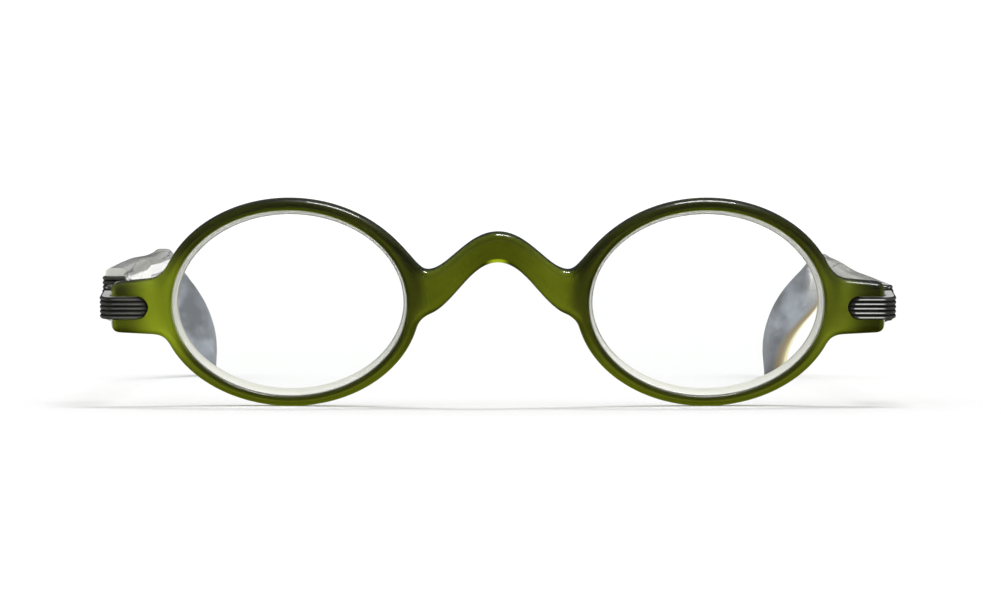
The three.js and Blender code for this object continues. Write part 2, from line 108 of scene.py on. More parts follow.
def on_front(points, side="right"):
    """Flat front drawing to the world: mirrored for the left, bowed back, leaned, and put in its place."""
    out = np.array(points, dtype=float)
    out[..., 0] *= SIGN[side]
    out[..., 1] += BOW * smooth(0, BOW_REACH, np.abs(out[..., 0]))
    return (turned(out, "x", LEAN) + FRONT_AT) * MM


def at_hinge(points, side):
    """From the hinge axis to the world, square to the front: mirrored for the left, splayed and leaned."""
    out = np.array(points, dtype=float)
    out[..., 0] *= SIGN[side]
    out = turned(out, "z", -SIGN[side] * SPLAY[side])
    return (turned(out, "x", LEAN) + HINGE_AT[side]) * MM


def on_temple(points, side):
    """Temple drawing to the world: tilted down along its length, then as from the hinge axis."""
    return at_hinge(turned(np.array(points, dtype=float), "x", -TEMPLE_TILT), side)


print(f"lean {LEAN / pi * 180:.2f} degrees, hinge axes {2 * AXIS_X:.2f} mm apart")

# %% [markdown]
# ## From points to a mesh
# Every piece below is an array of points on a grid and an array of corner numbers. One function joins the
# grid's neighbours into quads, one makes the closed mesh and turns its faces outwards, and one cuts or joins
# two meshes. Edges sharper than a set angle stay crisp, and all others are shaded smooth.

# %% Grids, meshes and cuts
CRISP = radians(38)
SAME_POINT = 2e-7
SLIVER = 1e-8


def grid_faces(rows, columns, around=True):
    """Corner numbers of the quads between neighbours on a grid, the columns joined in a ring if asked."""
    r = np.arange(rows - 1)[:, None]
    c = np.arange(columns if around else columns - 1)[None, :]
    d = (c + 1) % columns
    corners = [r * columns + c, r * columns + d, (r + 1) * columns + d, (r + 1) * columns + c]
    return np.stack(np.broadcast_arrays(*corners), axis=-1).reshape(-1, 4)


def solid(name, points, *face_sets, marks=None):
    """A mesh object from points in metres and arrays of corners, with doubles merged and faces outwards."""
    mesh = bpy.data.meshes.new(name)
    corners = [face for faces in face_sets for face in np.asarray(faces).tolist()]
    mesh.from_pydata(points.reshape(-1, 3).tolist(), [], corners)
    for mark, values in (marks or {}).items():
        mesh.attributes.new(mark, "FLOAT", "POINT").data.foreach_set("value", values.ravel())
    work = bmesh.new()
    work.from_mesh(mesh)
    bmesh.ops.remove_doubles(work, verts=work.verts, dist=SAME_POINT)
    bmesh.ops.dissolve_degenerate(work, edges=work.edges, dist=SLIVER)
    bmesh.ops.recalc_face_normals(work, faces=work.faces)
    work.to_mesh(mesh)
    work.free()
    mesh.shade_smooth()
    mesh.set_sharp_from_angle(angle=CRISP)
    made = bpy.data.objects.new(name, mesh)
    bpy.context.scene.collection.objects.link(made)
    return made


def joined(piece, tool, operation="DIFFERENCE"):
    """Cuts the tool out of the piece, or unites them, and keeps the result as the piece's own mesh."""
    change = piece.modifiers.new(operation, "BOOLEAN")
    change.operation = operation
    change.solver = "EXACT"
    change.object = tool
    result = bpy.data.meshes.new_from_object(piece.evaluated_get(bpy.context.evaluated_depsgraph_get()))
    piece.modifiers.clear()
    old = piece.data
    piece.data = result
    bpy.data.meshes.remove(old)
    bpy.data.meshes.remove(tool.data)
    result.name = piece.name
    result.shade_smooth()
    result.set_sharp_from_angle(angle=CRISP)
    return piece


def ends(rows, columns):
    """The two flat ends of a tube of rings, each one face."""
    return [list(range(columns))], [list(range((rows - 1) * columns, rows * columns))]


def lathe(profile, steps=48):
    """Rings round the z axis: radius and height of each profile point, turned through even angles."""
    turn = np.arange(steps) * 2 * pi / steps
    radius, height = np.array(profile, dtype=float).T
    rings = [np.outer(radius, np.cos(turn)), np.outer(radius, np.sin(turn)), np.outer(height, np.ones(steps))]
    return np.stack(rings, axis=-1)


print("helpers ready")

# %% [markdown]
# ## Shader maths as Python
# A Wire is one socket of a material. Arithmetic on wires adds Math nodes, so a mask can be written as an
# expression. Every other node comes from the method node: its type, its settings, then its inputs. Materials
# read places in metres, so the ranges given to them are in metres too.

# %% The Wire class


class Wire:
    """One output socket in a material's nodes; plus, minus and times add Math nodes behind it."""

    def __init__(self, tree, socket=None):
        self.tree = tree
        self.socket = socket

    def node(self, kind, settings=None, inputs=None, output=0):
        """Adds a node, sets its settings, then its inputs by name or number, and returns one output."""
        made = self.tree.nodes.new(kind)
        for key, value in (settings or {}).items():
            setattr(made, key, value)
        for key, value in (inputs or {}).items():
            if isinstance(value, Wire):
                self.tree.links.new(value.socket, made.inputs[key])
            else:
                made.inputs[key].default_value = value
        return Wire(self.tree, made.outputs[output])

    def math(self, operation, *values):
        """A Math node on wires and numbers."""
        return self.node("ShaderNodeMath", {"operation": operation}, dict(enumerate(values)))

    def __add__(self, other):
        return self.math("ADD", self, other)

    def __sub__(self, other):
        return self.math("SUBTRACT", self, other)

    def __rsub__(self, other):
        return self.math("SUBTRACT", other, self)

    def __mul__(self, other):
        return self.math("MULTIPLY", self, other)

    __radd__ = __add__
    __rmul__ = __mul__

    def step(self, start, end):
        """Goes smoothly from 0 where the wire reads start to 1 where it reads end."""
        inputs = {"Value": self, "From Min": start, "From Max": end}
        return self.node("ShaderNodeMapRange", {"interpolation_type": "SMOOTHSTEP"}, inputs)

    def mix(self, low, high):
        """A number between low, where the wire is 0, and high, where it is 1."""
        return self.node("ShaderNodeMix", inputs={0: self, 2: low, 3: high})

    def tint(self, low, high):
        """A colour between low, where the wire is 0, and high, where it is 1; both may be wires too."""
        low, high = (colour if isinstance(colour, Wire) else (*colour, 1) for colour in (low, high))
        return self.node("ShaderNodeMix", {"data_type": "RGBA"}, {0: self, 6: low, 7: high}, output=2)


def new_material(name):
    """A material with only its output left, and a wire to build on."""
    material = bpy.data.materials.new(name)
    material.use_nodes = True
    material.node_tree.nodes.clear()
    material.node_tree.nodes.new("ShaderNodeOutputMaterial")
    return material, Wire(material.node_tree)


def put_out(material, wire, socket="Surface"):
    """Joins a shader to the material's output."""
    out = material.node_tree.nodes["Material Output"]
    material.node_tree.links.new(wire.socket, out.inputs[socket])


def point_marks(wire, *names):
    """The marks of a mesh's points that have these names, each as a wire."""
    return [wire.node("ShaderNodeAttribute", {"attribute_name": name}, output="Fac") for name in names]


def clouds(wire, scale, detail=3.0, stretch=(1, 1, 1)):
    """Soft noise over the piece's own metres, `scale` times a metre, drawn out by the stretch."""
    place = wire.node("ShaderNodeTexCoord", output="Object")
    place = wire.node("ShaderNodeMapping", inputs={"Vector": place, "Scale": stretch})
    return wire.node("ShaderNodeTexNoise", inputs={"Vector": place, "Scale": scale, "Detail": detail})


def bumps(wire, height, distance, strength=1.0):
    """A normal tipped by the slope of a height, which is a share of the distance in metres."""
    return wire.node("ShaderNodeBump", inputs={"Height": height, "Distance": distance, "Strength": strength})


print("shader helpers ready")

# %% [markdown]
# ## Green acetate
# The front is cut from a sheet of clear green cellulose acetate and tumbled until it shines. Light that
# crosses it loses blue first and red a little faster than green, so thin places glow yellow green and thick
# ones are dark olive. An absorbing volume does that by itself: its colour and density are plain values.
# The sheet is cloudy, so the body's refraction is rough under a clear polished coat. The rims get most of
# their light from the table: where they face down they glow, and where they face up they are nearly black.
# The surface colour paints that light and shade in, from two marks on the points. It also holds an uneven
# tone: pale where the rims meet the end pieces and deeper on the bridge, with painted shade round the plates
# and painted light on the bridge's upper edge. A weak emission paints a glow for light that the sheet gathers
# inside: a small spot under the bridge's middle, a trace beside the left rim, and the rims' undersides.

# %% The green acetate material
ACETATE_IOR = 1.49
LEFT_TO_RIGHT = (-0.01, 0.01)
END_MIDDLE = 0.0163
END_FADE = (0.004, 0.011)
BRIDGE_LEG = (0.002, 0.009)
RIM_TO_END = (0.047, 0.055)
END_TO_PLATE = (0.056, 0.061)
SPOT_EDGE = (0.0004, 0.0022)
BRIDGE_DYE = 0.18
RIM_DYE = 0.42
END_PALENESS = 0.95
DEEP_GREEN = (0.02, 0.015, 0.012)
PALE_GREEN = (1.0, 0.97, 0.78)
PAINTED_GLOW_GREEN = (0.36, 0.46, 0.01)
DYED_THROUGH = (0.64, 0.70, 0.0, 1)
DYE_DENSITY = 1000.0


def green_acetate():
    """Rough refraction in an absorbing volume, tinted by the dye and by painted shade, painted light and an
    emitted painted glow.
    """
    material, m = new_material("green_acetate")
    place = m.node("ShaderNodeTexCoord", output="Object")
    across, height = (m.node("ShaderNodeSeparateXYZ", inputs={0: place}, output=axis) for axis in "XZ")
    away = m.math("ABSOLUTE", across)
    level = 1 - m.math("ABSOLUTE", height - END_MIDDLE).step(*END_FADE)
    right = across.step(*LEFT_TO_RIGHT)
    leg = away.step(*BRIDGE_LEG)
    outer = away.step(*RIM_TO_END) * level
    plates = away.step(*END_TO_PLATE)
    upward, rim = point_marks(m, "upward", "rim")
    cloud = clouds(m, 90, stretch=(1, 1, 2.5))
    # Painted light: the bridge is lighter where it faces up; its legs are lighter too, the right one more.
    bridge = BRIDGE_DYE + leg * (0.1 + right * 0.14) + upward.step(0.2, 0.8) * 0.3
    # Tone, paler at the end pieces' middle and less so on the right, with painted shade round the plates.
    dye_and_painted_light = rim.mix(bridge, RIM_DYE) * (1 - outer) + outer * (END_PALENESS - right * 0.25) - plates * 0.6
    # Painted shade: darker where a rim faces up, on the top's outer side and the bottom's inner side.
    shade = rim * upward.step(-0.24, 0.14) * (0.95 - outer * 0.3)
    # Painted light: lighter where a rim faces down.
    painted_light_below = rim * (1 - upward.step(-1.0, -0.5)) * 0.08
    light = (dye_and_painted_light + cloud.step(0.3, 0.7) * 0.06) * (1 - shade) + painted_light_below
    # Painted glow, emitted though the sheet is no lamp: under the bridge's middle, beside the left rim, rims'
    # undersides.
    spot = (1 - away.step(*SPOT_EDGE)) * (1 - upward.step(-0.7, -0.35))
    under = rim * (1 - upward.step(-1.3, -0.6))
    painted_glow = spot + outer * (1 - plates) * (1 - right) * 0.14 + under * 0.2
    polish = clouds(m, 700, detail=2)
    shader = m.node("ShaderNodeBsdfPrincipled", inputs={
        "Base Color": light.tint(DEEP_GREEN, PALE_GREEN),
        "Roughness": 0.15 + m.math("MAXIMUM", rim, outer) * 0.18 + cloud * 0.08,
        "IOR": ACETATE_IOR,
        "Specular IOR Level": 0.0,
        "Transmission Weight": 1.0,
        "Coat Weight": 1.0,
        "Coat Roughness": 0.012,
        "Emission Color": painted_glow.tint((0, 0, 0), PAINTED_GLOW_GREEN),
        "Emission Strength": 1.0,
        "Normal": bumps(m, polish, 2e-6),
    })
    put_out(material, shader)
    absorb = m.node("ShaderNodeVolumeAbsorption", inputs={"Color": DYED_THROUGH, "Density": DYE_DENSITY})
    put_out(material, absorb, "Volume")
    return material


GREEN = green_acetate()
print("green acetate:", len(GREEN.node_tree.nodes), "nodes")

# %% [markdown]
# ## The front's outline
# The front is one flat blank with two oval openings, turned a little so that their nose sides are up. Its
# outline is drawn for the right half as curves and arcs from the bridge to the end piece and back, then
# mirrored. It is read again at even steps and softened a little, as the tumbling does, so the rounded edge
# that is carried along it has no kinks.

# %% Outline and openings
LENS_X = 34.25
OVAL_TURN = radians(2.4)
OPENING_A = 19.3
OPENING_B = 15.45
RIM_A = 21.6
RIM_B = 17.25
END_X = 63.65
END_TOP = 3.2
END_BOTTOM = -5.1
END_CORNER = 1.25
RIM_TOP_ARC = (122, 25)
RIM_BOTTOM_ARC = (-21, -165)
CORNER_ARC = 86
BRIDGE_TOP = (0, 12.1)
BRIDGE_UNDER = (0, 7.2)
VALLEY = (11.6, 5.75)
NOTCH = (10.5, -1.15)
NECK_TOP = (57.7, 3.65)
NECK_BOTTOM = (57.7, -5.35)
OUTLINE_STEP = 0.22
OPENING_STEP = 0.36
SOFTENINGS = 5


def bezier(a, b, c, d, steps=40):
    """A cubic curve: the four points weighed by the Bernstein terms of t."""
    t = np.linspace(0, 1, steps)[:, None]
    weights = [(1 - t) ** 3, 3 * t * (1 - t) ** 2, 3 * t * t * (1 - t), t ** 3]
    return sum(w * np.array(p, dtype=float) for w, p in zip(weights, (a, b, c, d)))


def oval(centre, a, b, start, end, steps):
    """An arc of an ellipse between two angles in degrees."""
    turn = np.radians(np.linspace(start, end, steps))
    return np.stack([centre[0] + a * np.cos(turn), centre[1] + b * np.sin(turn)], axis=1)


def at_lens(x, z):
    """Across and up from a lens centre, turned by the ovals' turn, and moved to the right lens."""
    return LENS_X + x * cos(OVAL_TURN) + z * sin(OVAL_TURN), z * cos(OVAL_TURN) - x * sin(OVAL_TURN)


def lens_oval(a, b, start, end, steps):
    """An arc of an oval about the right lens centre, turned as the ovals are."""
    return np.stack(at_lens(*oval((0, 0), a, b, start, end, steps).T), axis=1)


def half_outline():
    """The right half: bridge top, valley, rim, end piece with round corners, rim, notch, bridge underside."""
    top = lens_oval(RIM_A, RIM_B, *RIM_TOP_ARC, steps=120)
    bottom = lens_oval(RIM_A, RIM_B, *RIM_BOTTOM_ARC, steps=180)
    edge = END_X - END_CORNER
    return np.concatenate([
        bezier(BRIDGE_TOP, (5.2, 12.1), (8.2, 5.75), VALLEY),
        bezier(VALLEY, (13.6, 5.75), (15.5, 11.55), top[0])[1:],
        top[1:],
        bezier(top[-1], (54.85, 5.06), (55.8, 3.75), NECK_TOP)[1:],
        oval((edge, END_TOP - END_CORNER), END_CORNER, END_CORNER, CORNER_ARC, 0, steps=20),
        oval((edge, END_BOTTOM + END_CORNER), END_CORNER, END_CORNER, 0, -CORNER_ARC, steps=20),
        bezier(NECK_BOTTOM, (56.1, -5.42), (55.0, -5.42), bottom[0]),
        bottom[1:],
        bezier(bottom[-1], (13.0, -2.87), (12.4, -1.85), NOTCH)[1:],
        bezier(NOTCH, (6.6, 1.2), (4.2, 7.2), BRIDGE_UNDER)[1:],
    ])


def even_steps(line, step):
    """A closed line with points a step apart: each coordinate is read at even lengths along the line."""
    ring = np.vstack([line, line[:1]])
    length = np.concatenate([[0], np.cumsum(np.hypot(*np.diff(ring, axis=0).T))])
    at = np.linspace(0, length[-1], int(length[-1] / step), endpoint=False)
    return np.stack([np.interp(at, length, ring[:, k]) for k in (0, 1)], axis=1)


def softened(line, times):
    """A closed line where each point moves a quarter of the way to each neighbour, a few times over."""
    for _ in range(times):
        line = (np.roll(line, 1, axis=0) + 2 * line + np.roll(line, -1, axis=0)) / 4
    return line


def outward(line):
    """Unit normals of a closed line: its central difference turned a quarter turn, away from the inside."""
    along = np.roll(line, -1, axis=0) - np.roll(line, 1, axis=0)
    area = np.sum(line[:, 0] * np.roll(line[:, 1], -1) - line[:, 1] * np.roll(line[:, 0], -1))
    normal = np.stack([along[:, 1], -along[:, 0]], axis=1) * np.sign(area)
    return normal / np.hypot(*normal.T)[:, None]


right_half = half_outline()
whole = np.concatenate([right_half, right_half[-2:0:-1] * (-1, 1)])
OUTLINE = softened(even_steps(whole, OUTLINE_STEP), SOFTENINGS)
fine_opening = lens_oval(OPENING_A, OPENING_B, 0, 360, steps=721)[:-1]
right_opening = even_steps(fine_opening, OPENING_STEP)
OPENINGS = [right_opening, right_opening * (-1, 1)]
print(len(OUTLINE), "points round the outline,", len(OPENINGS[0]), "round an opening")

# %% [markdown]
# ## The front
# A rounded edge profile is carried along the outline, and a lip with the lens groove along each opening.
# Between these bands lie the flat front and back, filled with a Delaunay net that shares the bands' edge
# points. One grid of two parameters can't cover a plate with two holes, so this is a sum of three bands and
# two nets. Then the plate pockets and the rivet holes are cut, as a mill would cut them.

# %% The rounded edge, the lips and their bands
FRONT_THICK = 4.0
EDGE_INSET = 1.12
EDGE_FRONT = 1.35
EDGE_BACK = 1.0
LIP_INSET = 0.42
LIP_DEPTH = 0.5
GROOVE_DEPTH = 0.6
GROOVE_MID = 2.0
GROOVE_HALF = 0.95
GROOVE_FLOOR_HALF = 0.1


def edge_profile():
    """Inset and depth over the outer edge: a quarter ellipse, a straight wall, a smaller quarter ellipse."""
    t = np.linspace(0, pi / 2, 10)
    front = np.stack([EDGE_INSET * (1 - np.sin(t)), EDGE_FRONT * (1 - np.cos(t))], axis=1)
    back = np.stack([EDGE_INSET * (1 - np.sin(t)), FRONT_THICK - EDGE_BACK * (1 - np.cos(t))], axis=1)
    return np.concatenate([front, back[::-1]])


def lip_profile():
    """Inset and depth over an opening's wall: a round lip, the V groove of the lens, a round lip."""
    t = np.linspace(0, pi / 2, 7)
    lip = np.stack([LIP_INSET * (1 - np.sin(t)), LIP_DEPTH * (1 - np.cos(t))], axis=1)
    groove = [(0, GROOVE_MID - GROOVE_HALF), (GROOVE_DEPTH, GROOVE_MID - GROOVE_FLOOR_HALF)]
    first = np.concatenate([lip, groove])
    return np.concatenate([first, first[::-1] * (1, -1) + (0, FRONT_THICK)])


def band(line, profile, into):
    """A profile carried along a closed line: each point moves by its inset into the material, and back."""
    flat = line[:, None, :] + into[:, None, :] * profile[None, :, :1]
    depth = np.broadcast_to(profile[None, :, 1:], flat.shape[:2] + (1,))
    return np.concatenate([flat[..., :1], depth, flat[..., 1:]], axis=-1)


BANDS = [band(OUTLINE, edge_profile(), -outward(OUTLINE))]
BANDS += [band(line, lip_profile(), outward(line)) for line in OPENINGS]
print(len(BANDS), "bands of", ", ".join(str(len(b) * b.shape[1]) for b in BANDS), "points")

# %% The nets between the bands
NET_STEP = 0.8
NET_CLOSE = 1e-6


def inside(points, line):
    """True where a point lies inside a closed line: a ray to the right crosses it an odd number of times."""
    x, z = points[:, :1], points[:, 1:]
    (x0, z0), (x1, z1) = line.T, np.roll(line, -1, axis=0).T
    spans = (z0 > z) != (z1 > z)
    run = np.where(z1 == z0, 1, z1 - z0)
    return (spans & (x < x0 + (z - z0) * (x1 - x0) / run)).sum(axis=1) % 2 == 1


def between(points, loops):
    """True inside the first closed line and outside the others."""
    return inside(points, loops[0]) & ~inside(points, loops[1]) & ~inside(points, loops[2])


def net(loops):
    """A Delaunay net over the loops' points and a grid of points that stay half a step clear of them."""
    rim = np.concatenate(loops)
    low, high = rim.min(axis=0), rim.max(axis=0)
    rows = [np.arange(a, b, NET_STEP) for a, b in zip(low, high)]
    grid = np.stack(np.meshgrid(*rows), axis=-1).reshape(-1, 2)
    grid = grid[between(grid, loops)]
    gap = np.min(np.hypot(*(grid[:, None, :] - rim[None, :, :]).transpose(2, 0, 1)), axis=1)
    points = np.concatenate([rim, grid[gap > NET_STEP / 2]])
    starts = np.cumsum([0] + [len(loop) for loop in loops])
    rings = [np.arange(a, b) for a, b in zip(starts, starts[1:])]
    sides = np.concatenate([np.stack([ring, np.roll(ring, -1)], axis=1) for ring in rings])
    found = delaunay_2d_cdt(points.tolist(), sides.tolist(), [], 0, NET_CLOSE)
    triangles = np.array(found[2])
    assert len(found[0]) == len(points)
    return points, triangles[between(points[triangles].mean(axis=1), loops)]


NET = net([b[:, 0][:, [0, 2]] for b in BANDS])
print(len(NET[1]), "triangles in a net")

# %% The blank of the front
RIM_FADE = (0.99, 1.1)
RIM_SPLIT = 0.42
RIM_SHIFT = 0.1
RIM_CONTRAST = 1.7


def rim_marks(places):
    """Two marks from a point's distance and height about its lens centre, in units of the rim's oval: its
    share of the rim, which is 1 on the rim and fades to 0 past it, and its height times how far out on the
    rim it is, which tells the outer side of the top and the inner side of the bottom from the rest. Both
    steer the painted shade and painted light in the rims' colour."""
    x, z = np.abs(places[:, 0]) - LENS_X, places[:, 2]
    across = (x * cos(OVAL_TURN) - z * sin(OVAL_TURN)) / RIM_A
    up = (x * sin(OVAL_TURN) + z * cos(OVAL_TURN)) / RIM_B
    away = np.hypot(across, up)
    inner = OPENING_A / RIM_A
    share = 1 - smooth(*RIM_FADE, away)
    outside = np.clip((away - inner) / (1 - inner), 0, 1) - RIM_SPLIT + RIM_SHIFT * up
    return {"rim": share, "upward": RIM_CONTRAST * share * outside * up / away}


def front_blank():
    """The three bands, the front net and the back net as one closed mesh."""
    points, triangles = NET
    loops = sum(len(b) for b in BANDS)
    extra = points[loops:]
    faces, firsts, lasts, offset = [], [], [], 0
    for b in BANDS:
        rows, columns = b.shape[:2]
        ring = grid_faces(columns, rows).reshape(-1, 4)
        faces.append(offset + (ring % rows) * columns + ring // rows)
        firsts.append(offset + np.arange(rows) * columns)
        lasts.append(firsts[-1] + columns - 1)
        offset += rows * columns
    spots = [np.insert(extra, 1, depth, axis=1) for depth in (0.0, FRONT_THICK)]
    numbers = np.arange(len(extra))
    front = np.concatenate([*firsts, offset + numbers])
    back = np.concatenate([*lasts, offset + len(extra) + numbers])
    places = np.concatenate([*[b.reshape(-1, 3) for b in BANDS], *spots])
    standing = on_front(places)
    standing[:, 2] = np.maximum(standing[:, 2], 0)
    faces += [front[triangles], back[triangles][:, ::-1]]
    return solid("green_front", standing, *faces, marks=rim_marks(places))


front = front_blank()
print("blank:", len(front.data.polygons), "faces")

# %% Cutters for the plate pockets and the rivet holes
PLATE_END_X = 57.5
PLATE_PROUD = 0.5
PLATE_THICK = 1.7
PLATE_HALF = 1.875
POCKET_CLEAR = 0.1
POCKET_LENGTH = 12
POCKET_FLOOR = PLATE_THICK - PLATE_PROUD + POCKET_CLEAR
CUT_AHEAD = 2
RIVET_R = 0.5
RIVET_CLEAR = 0.1
FRONT_RIVETS = (59.4, 61.8)
FRONT_HOLE = (-1, 6)


def extruded(outline, low, high, across):
    """An outline carried straight from low to high along y, x or z; the outline gives the other two axes."""
    order = {"y": (0, 2, 1), "x": (2, 0, 1), "z": (0, 1, 2)}[across]
    ring = np.insert(outline, 2, 0, axis=1)
    rings = np.stack([ring + (0, 0, low), ring + (0, 0, high)])
    return rings[..., order]


def bullet(nose, half, length):
    """A strip of the given half width: a round nose that starts at x = nose, and a square end."""
    arc = oval((nose + half, 0), half, half, 90, 270, steps=49)
    return np.concatenate([arc, [(nose + length, -half), (nose + length, half)]])


def tool(name, *tubes):
    """Separate closed tubes as one mesh, to be cut from a piece or joined to it and used up there."""
    faces, points, offset = [], [], 0
    for tube in tubes:
        rows, columns = tube.shape[:2]
        for part in (grid_faces(rows, columns), *ends(rows, columns)):
            faces.append(np.asarray(part) + offset)
        points.append(tube.reshape(-1, 3))
        offset += rows * columns
    return solid(name, np.concatenate(points), *faces)


def pocket(side):
    """The slot for the front plate: the plate's bullet outline with a little clearance, cut to its floor."""
    outline = bullet(PLATE_END_X - POCKET_CLEAR, PLATE_HALF + POCKET_CLEAR, POCKET_LENGTH) + (0, HINGE_DROP)
    return on_front(extruded(outline, -CUT_AHEAD, POCKET_FLOOR, "y"), side)


def hole_ring(x, z):
    """The outline of a rivet's hole, a little wider than the rivet."""
    return oval((x, z), RIVET_R + RIVET_CLEAR, RIVET_R + RIVET_CLEAR, 0, 360, steps=33)[:-1]


def rivet_hole(x, side):
    """A round hole through the end piece."""
    return on_front(extruded(hole_ring(x, HINGE_DROP), *FRONT_HOLE, "y"), side)


print("pockets", round(POCKET_FLOOR, 2), "mm deep, and", 2 * len(FRONT_RIVETS), "holes")

# %% The finished front


def mark_upward(piece):
    """Adds the upward part of each point's normal to its mark, from -1 facing down to 1 facing up."""
    normals = np.empty(3 * len(piece.data.vertices))
    piece.data.vertex_normals.foreach_get("vector", normals)
    mark = piece.data.attributes["upward"].data
    values = np.empty(len(mark))
    mark.foreach_get("value", values)
    mark.foreach_set("value", values + normals[2::3])


joined(front, tool("pockets", *[pocket(side) for side in SIGN]))
joined(front, tool("holes", *[rivet_hole(x, side) for side in SIGN for x in FRONT_RIVETS]))
# The upward mark steers the painted shade and painted light in the rims' colour.
mark_upward(front)
front.data.materials.append(GREEN)
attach(front, "front")
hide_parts("front_frame")
print("green front:", len(front.data.polygons), "faces")

# %% [markdown]
# ## Lenses
# Each lens is a shallow meniscus, ground to the opening's oval. Its edge has a V that sits in the groove, and
# the ground band behind it is matt and white, which shows from the front as a pale ring. A lens is a grid:
# one parameter goes round the oval, the other along the section from the middle of the front, over the edge,
# to the middle of the back. Marks on the points say where the glass is ground, how near the rim that is, and
# where the ground band ends in a thin grey line. The ring's white is painted lighter towards the top of the
# lens, a painted light. Rays from lamps pass straight through, because a path tracer would otherwise give
# clear glass a solid shadow.

# %% The lens material
GLASS_IOR = 1.5
RING_PAINTED_LIGHT_RANGE = (0.004, 0.028)
SEAM_STARTS = (0.003, 0.012)
RING_CREAM = (0.80, 0.80, 0.71)
RING_WHITE = (1.0, 1.0, 0.95)
SEAM_GREY = (0.4, 0.4, 0.38)
LENS_TINT = (0.99, 1.0, 0.995, 1)
LENS_SHADE = (0.93, 0.93, 0.93, 1)


def lamps_pass(wire, shader, colour):
    """The shader for every ray but those from lamps, which pass straight through and take on the colour."""
    lamp_ray = wire.node("ShaderNodeLightPath", output="Is Shadow Ray")
    film = wire.node("ShaderNodeBsdfTransparent", inputs={"Color": colour})
    return wire.node("ShaderNodeMixShader", inputs={0: lamp_ray, 1: shader, 2: film})


def lens_glass():
    """Clear glass, and matt white glass where the mark says that it is ground."""
    material, m = new_material("lens")
    ground, seam, near = point_marks(m, "ground", "seam", "near")
    place = m.node("ShaderNodeTexCoord", output="Object")
    height = m.node("ShaderNodeSeparateXYZ", inputs={0: place}, output="Z")
    grain = clouds(m, 5000, detail=2)
    smudge = clouds(m, 60, detail=2)
    clear = m.node("ShaderNodeBsdfPrincipled", inputs={
        "Base Color": LENS_TINT,
        "Roughness": smudge.step(0.55, 0.9) * 0.02,
        "IOR": GLASS_IOR,
        "Transmission Weight": 1.0,
    })
    # Painted light: the ring's white is lighter towards the top of the lens.
    white = height.step(*RING_PAINTED_LIGHT_RANGE) * 0.35 + near * 0.55 + grain * 0.1
    pale = white.tint(RING_CREAM, RING_WHITE)
    line = seam * height.step(*SEAM_STARTS)
    matt = m.node("ShaderNodeBsdfPrincipled", inputs={
        "Base Color": line.tint(pale, SEAM_GREY),
        "Roughness": 0.65 + grain * 0.2,
        "IOR": GLASS_IOR,
        "Transmission Weight": 0.25,
    })
    glass = m.node("ShaderNodeMixShader", inputs={0: ground, 1: clear, 2: matt})
    put_out(material, lamps_pass(m, glass, LENS_SHADE))
    return material


LENS = lens_glass()
print("lens glass:", len(LENS.node_tree.nodes), "nodes")

# %% Both lenses
LENS_RADIUS = 200.0
LENS_CLEAR = 0.06
LENS_BEVEL = (0.01, 0.02)
LENS_FRONT = GROOVE_MID - 1.0
LENS_REAR = GROOVE_MID + 1.6
V_HEIGHT = 0.45
V_FLAT_HALF = 0.04
GROUND_FROM = GROOVE_MID + 0.92
GROUND_CLEAR = 0.18
GROUND_ACROSS = 0.75
GROUND_UP = 1.0
GROUND_ASIDE = 0.2
SEAM_STEPS = ((0.22, 0), (0.12, 1), (0.02, 1))
LENS_STEPS = 240


def lens_section():
    """Rings of the section: size offsets across and up, share of that size, depth, move towards the nose, and
    the marks ground, seam and near."""
    share = np.linspace(0, 1, 14)
    rows = [(-LENS_CLEAR, -LENS_CLEAR, k, LENS_FRONT, 0, 0, 0, 0) for k in share]
    bevel = LENS_BEVEL[0] - LENS_CLEAR
    rows += [(bevel, bevel, 1, LENS_FRONT + LENS_BEVEL[1], 0, 1, 0, 1)]
    rows += [(V_HEIGHT, V_HEIGHT, 1, GROOVE_MID + side, 0, 1, 0, 1) for side in (-V_FLAT_HALF, V_FLAT_HALF)]
    rows += [(-GROUND_CLEAR, -GROUND_CLEAR, 1, GROUND_FROM, 0, 1, 0, 1)]
    for step, seam in SEAM_STEPS:
        rows += [(step - GROUND_ACROSS, step - GROUND_UP, 1, LENS_REAR - step, GROUND_ASIDE, 1, seam, 0)]
    rows += [(-GROUND_ACROSS, -GROUND_UP, k, LENS_REAR, GROUND_ASIDE, 0, 0, 0) for k in share[::-1]]
    return np.array(rows)


def lens(side):
    """Rings of the section's ovals: each is the opening's oval grown by the offsets, times the share. All
    points follow one dome: the squared distance from the middle, in units of the oval, over twice the
    radius."""
    across, up, share, depth, aside, ground, seam, near = lens_section().T
    turn = np.arange(LENS_STEPS) * 2 * pi / LENS_STEPS
    x = np.outer(share * (OPENING_A + across), np.cos(turn)) - aside[:, None]
    z = np.outer(share * (OPENING_B + up), np.sin(turn))
    y = depth[:, None] + (x ** 2 + (z * OPENING_A / OPENING_B) ** 2 - OPENING_A ** 2) / 2 / LENS_RADIUS
    x, z = at_lens(x, z)
    marks = {"ground": ground, "seam": seam, "near": near}
    marks = {name: np.outer(mark, np.ones(LENS_STEPS)) for name, mark in marks.items()}
    points = on_front(np.stack([x, y, z], axis=-1), side)
    return solid(f"{side}_oval_lens", points, grid_faces(*points.shape[:2]), marks=marks)


for side in SIGN:
    piece = lens(side)
    piece.data.materials.append(LENS)
    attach(piece, "front")
    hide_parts(f"{side}_lens")
    print(piece.name, len(piece.data.polygons), "faces")

# %% [markdown]
# ## Reeded hinge plates
# A plate is a strip of dark metal rolled with straight reeds, bent round the end piece's corner. Its end is
# cut to a round nose, and the cut falls away at the edge. On each side the front carries one plate and the
# temple another, and their knuckles interlock round the hinge screw. The strip is a ring of points carried
# along its bend: the ring's outer side has the reeds, and near the nose each height starts a little later.
# Marks on the points say how low a point lies, where the metal is cut, and how bright a painted highlight
# its crests get.

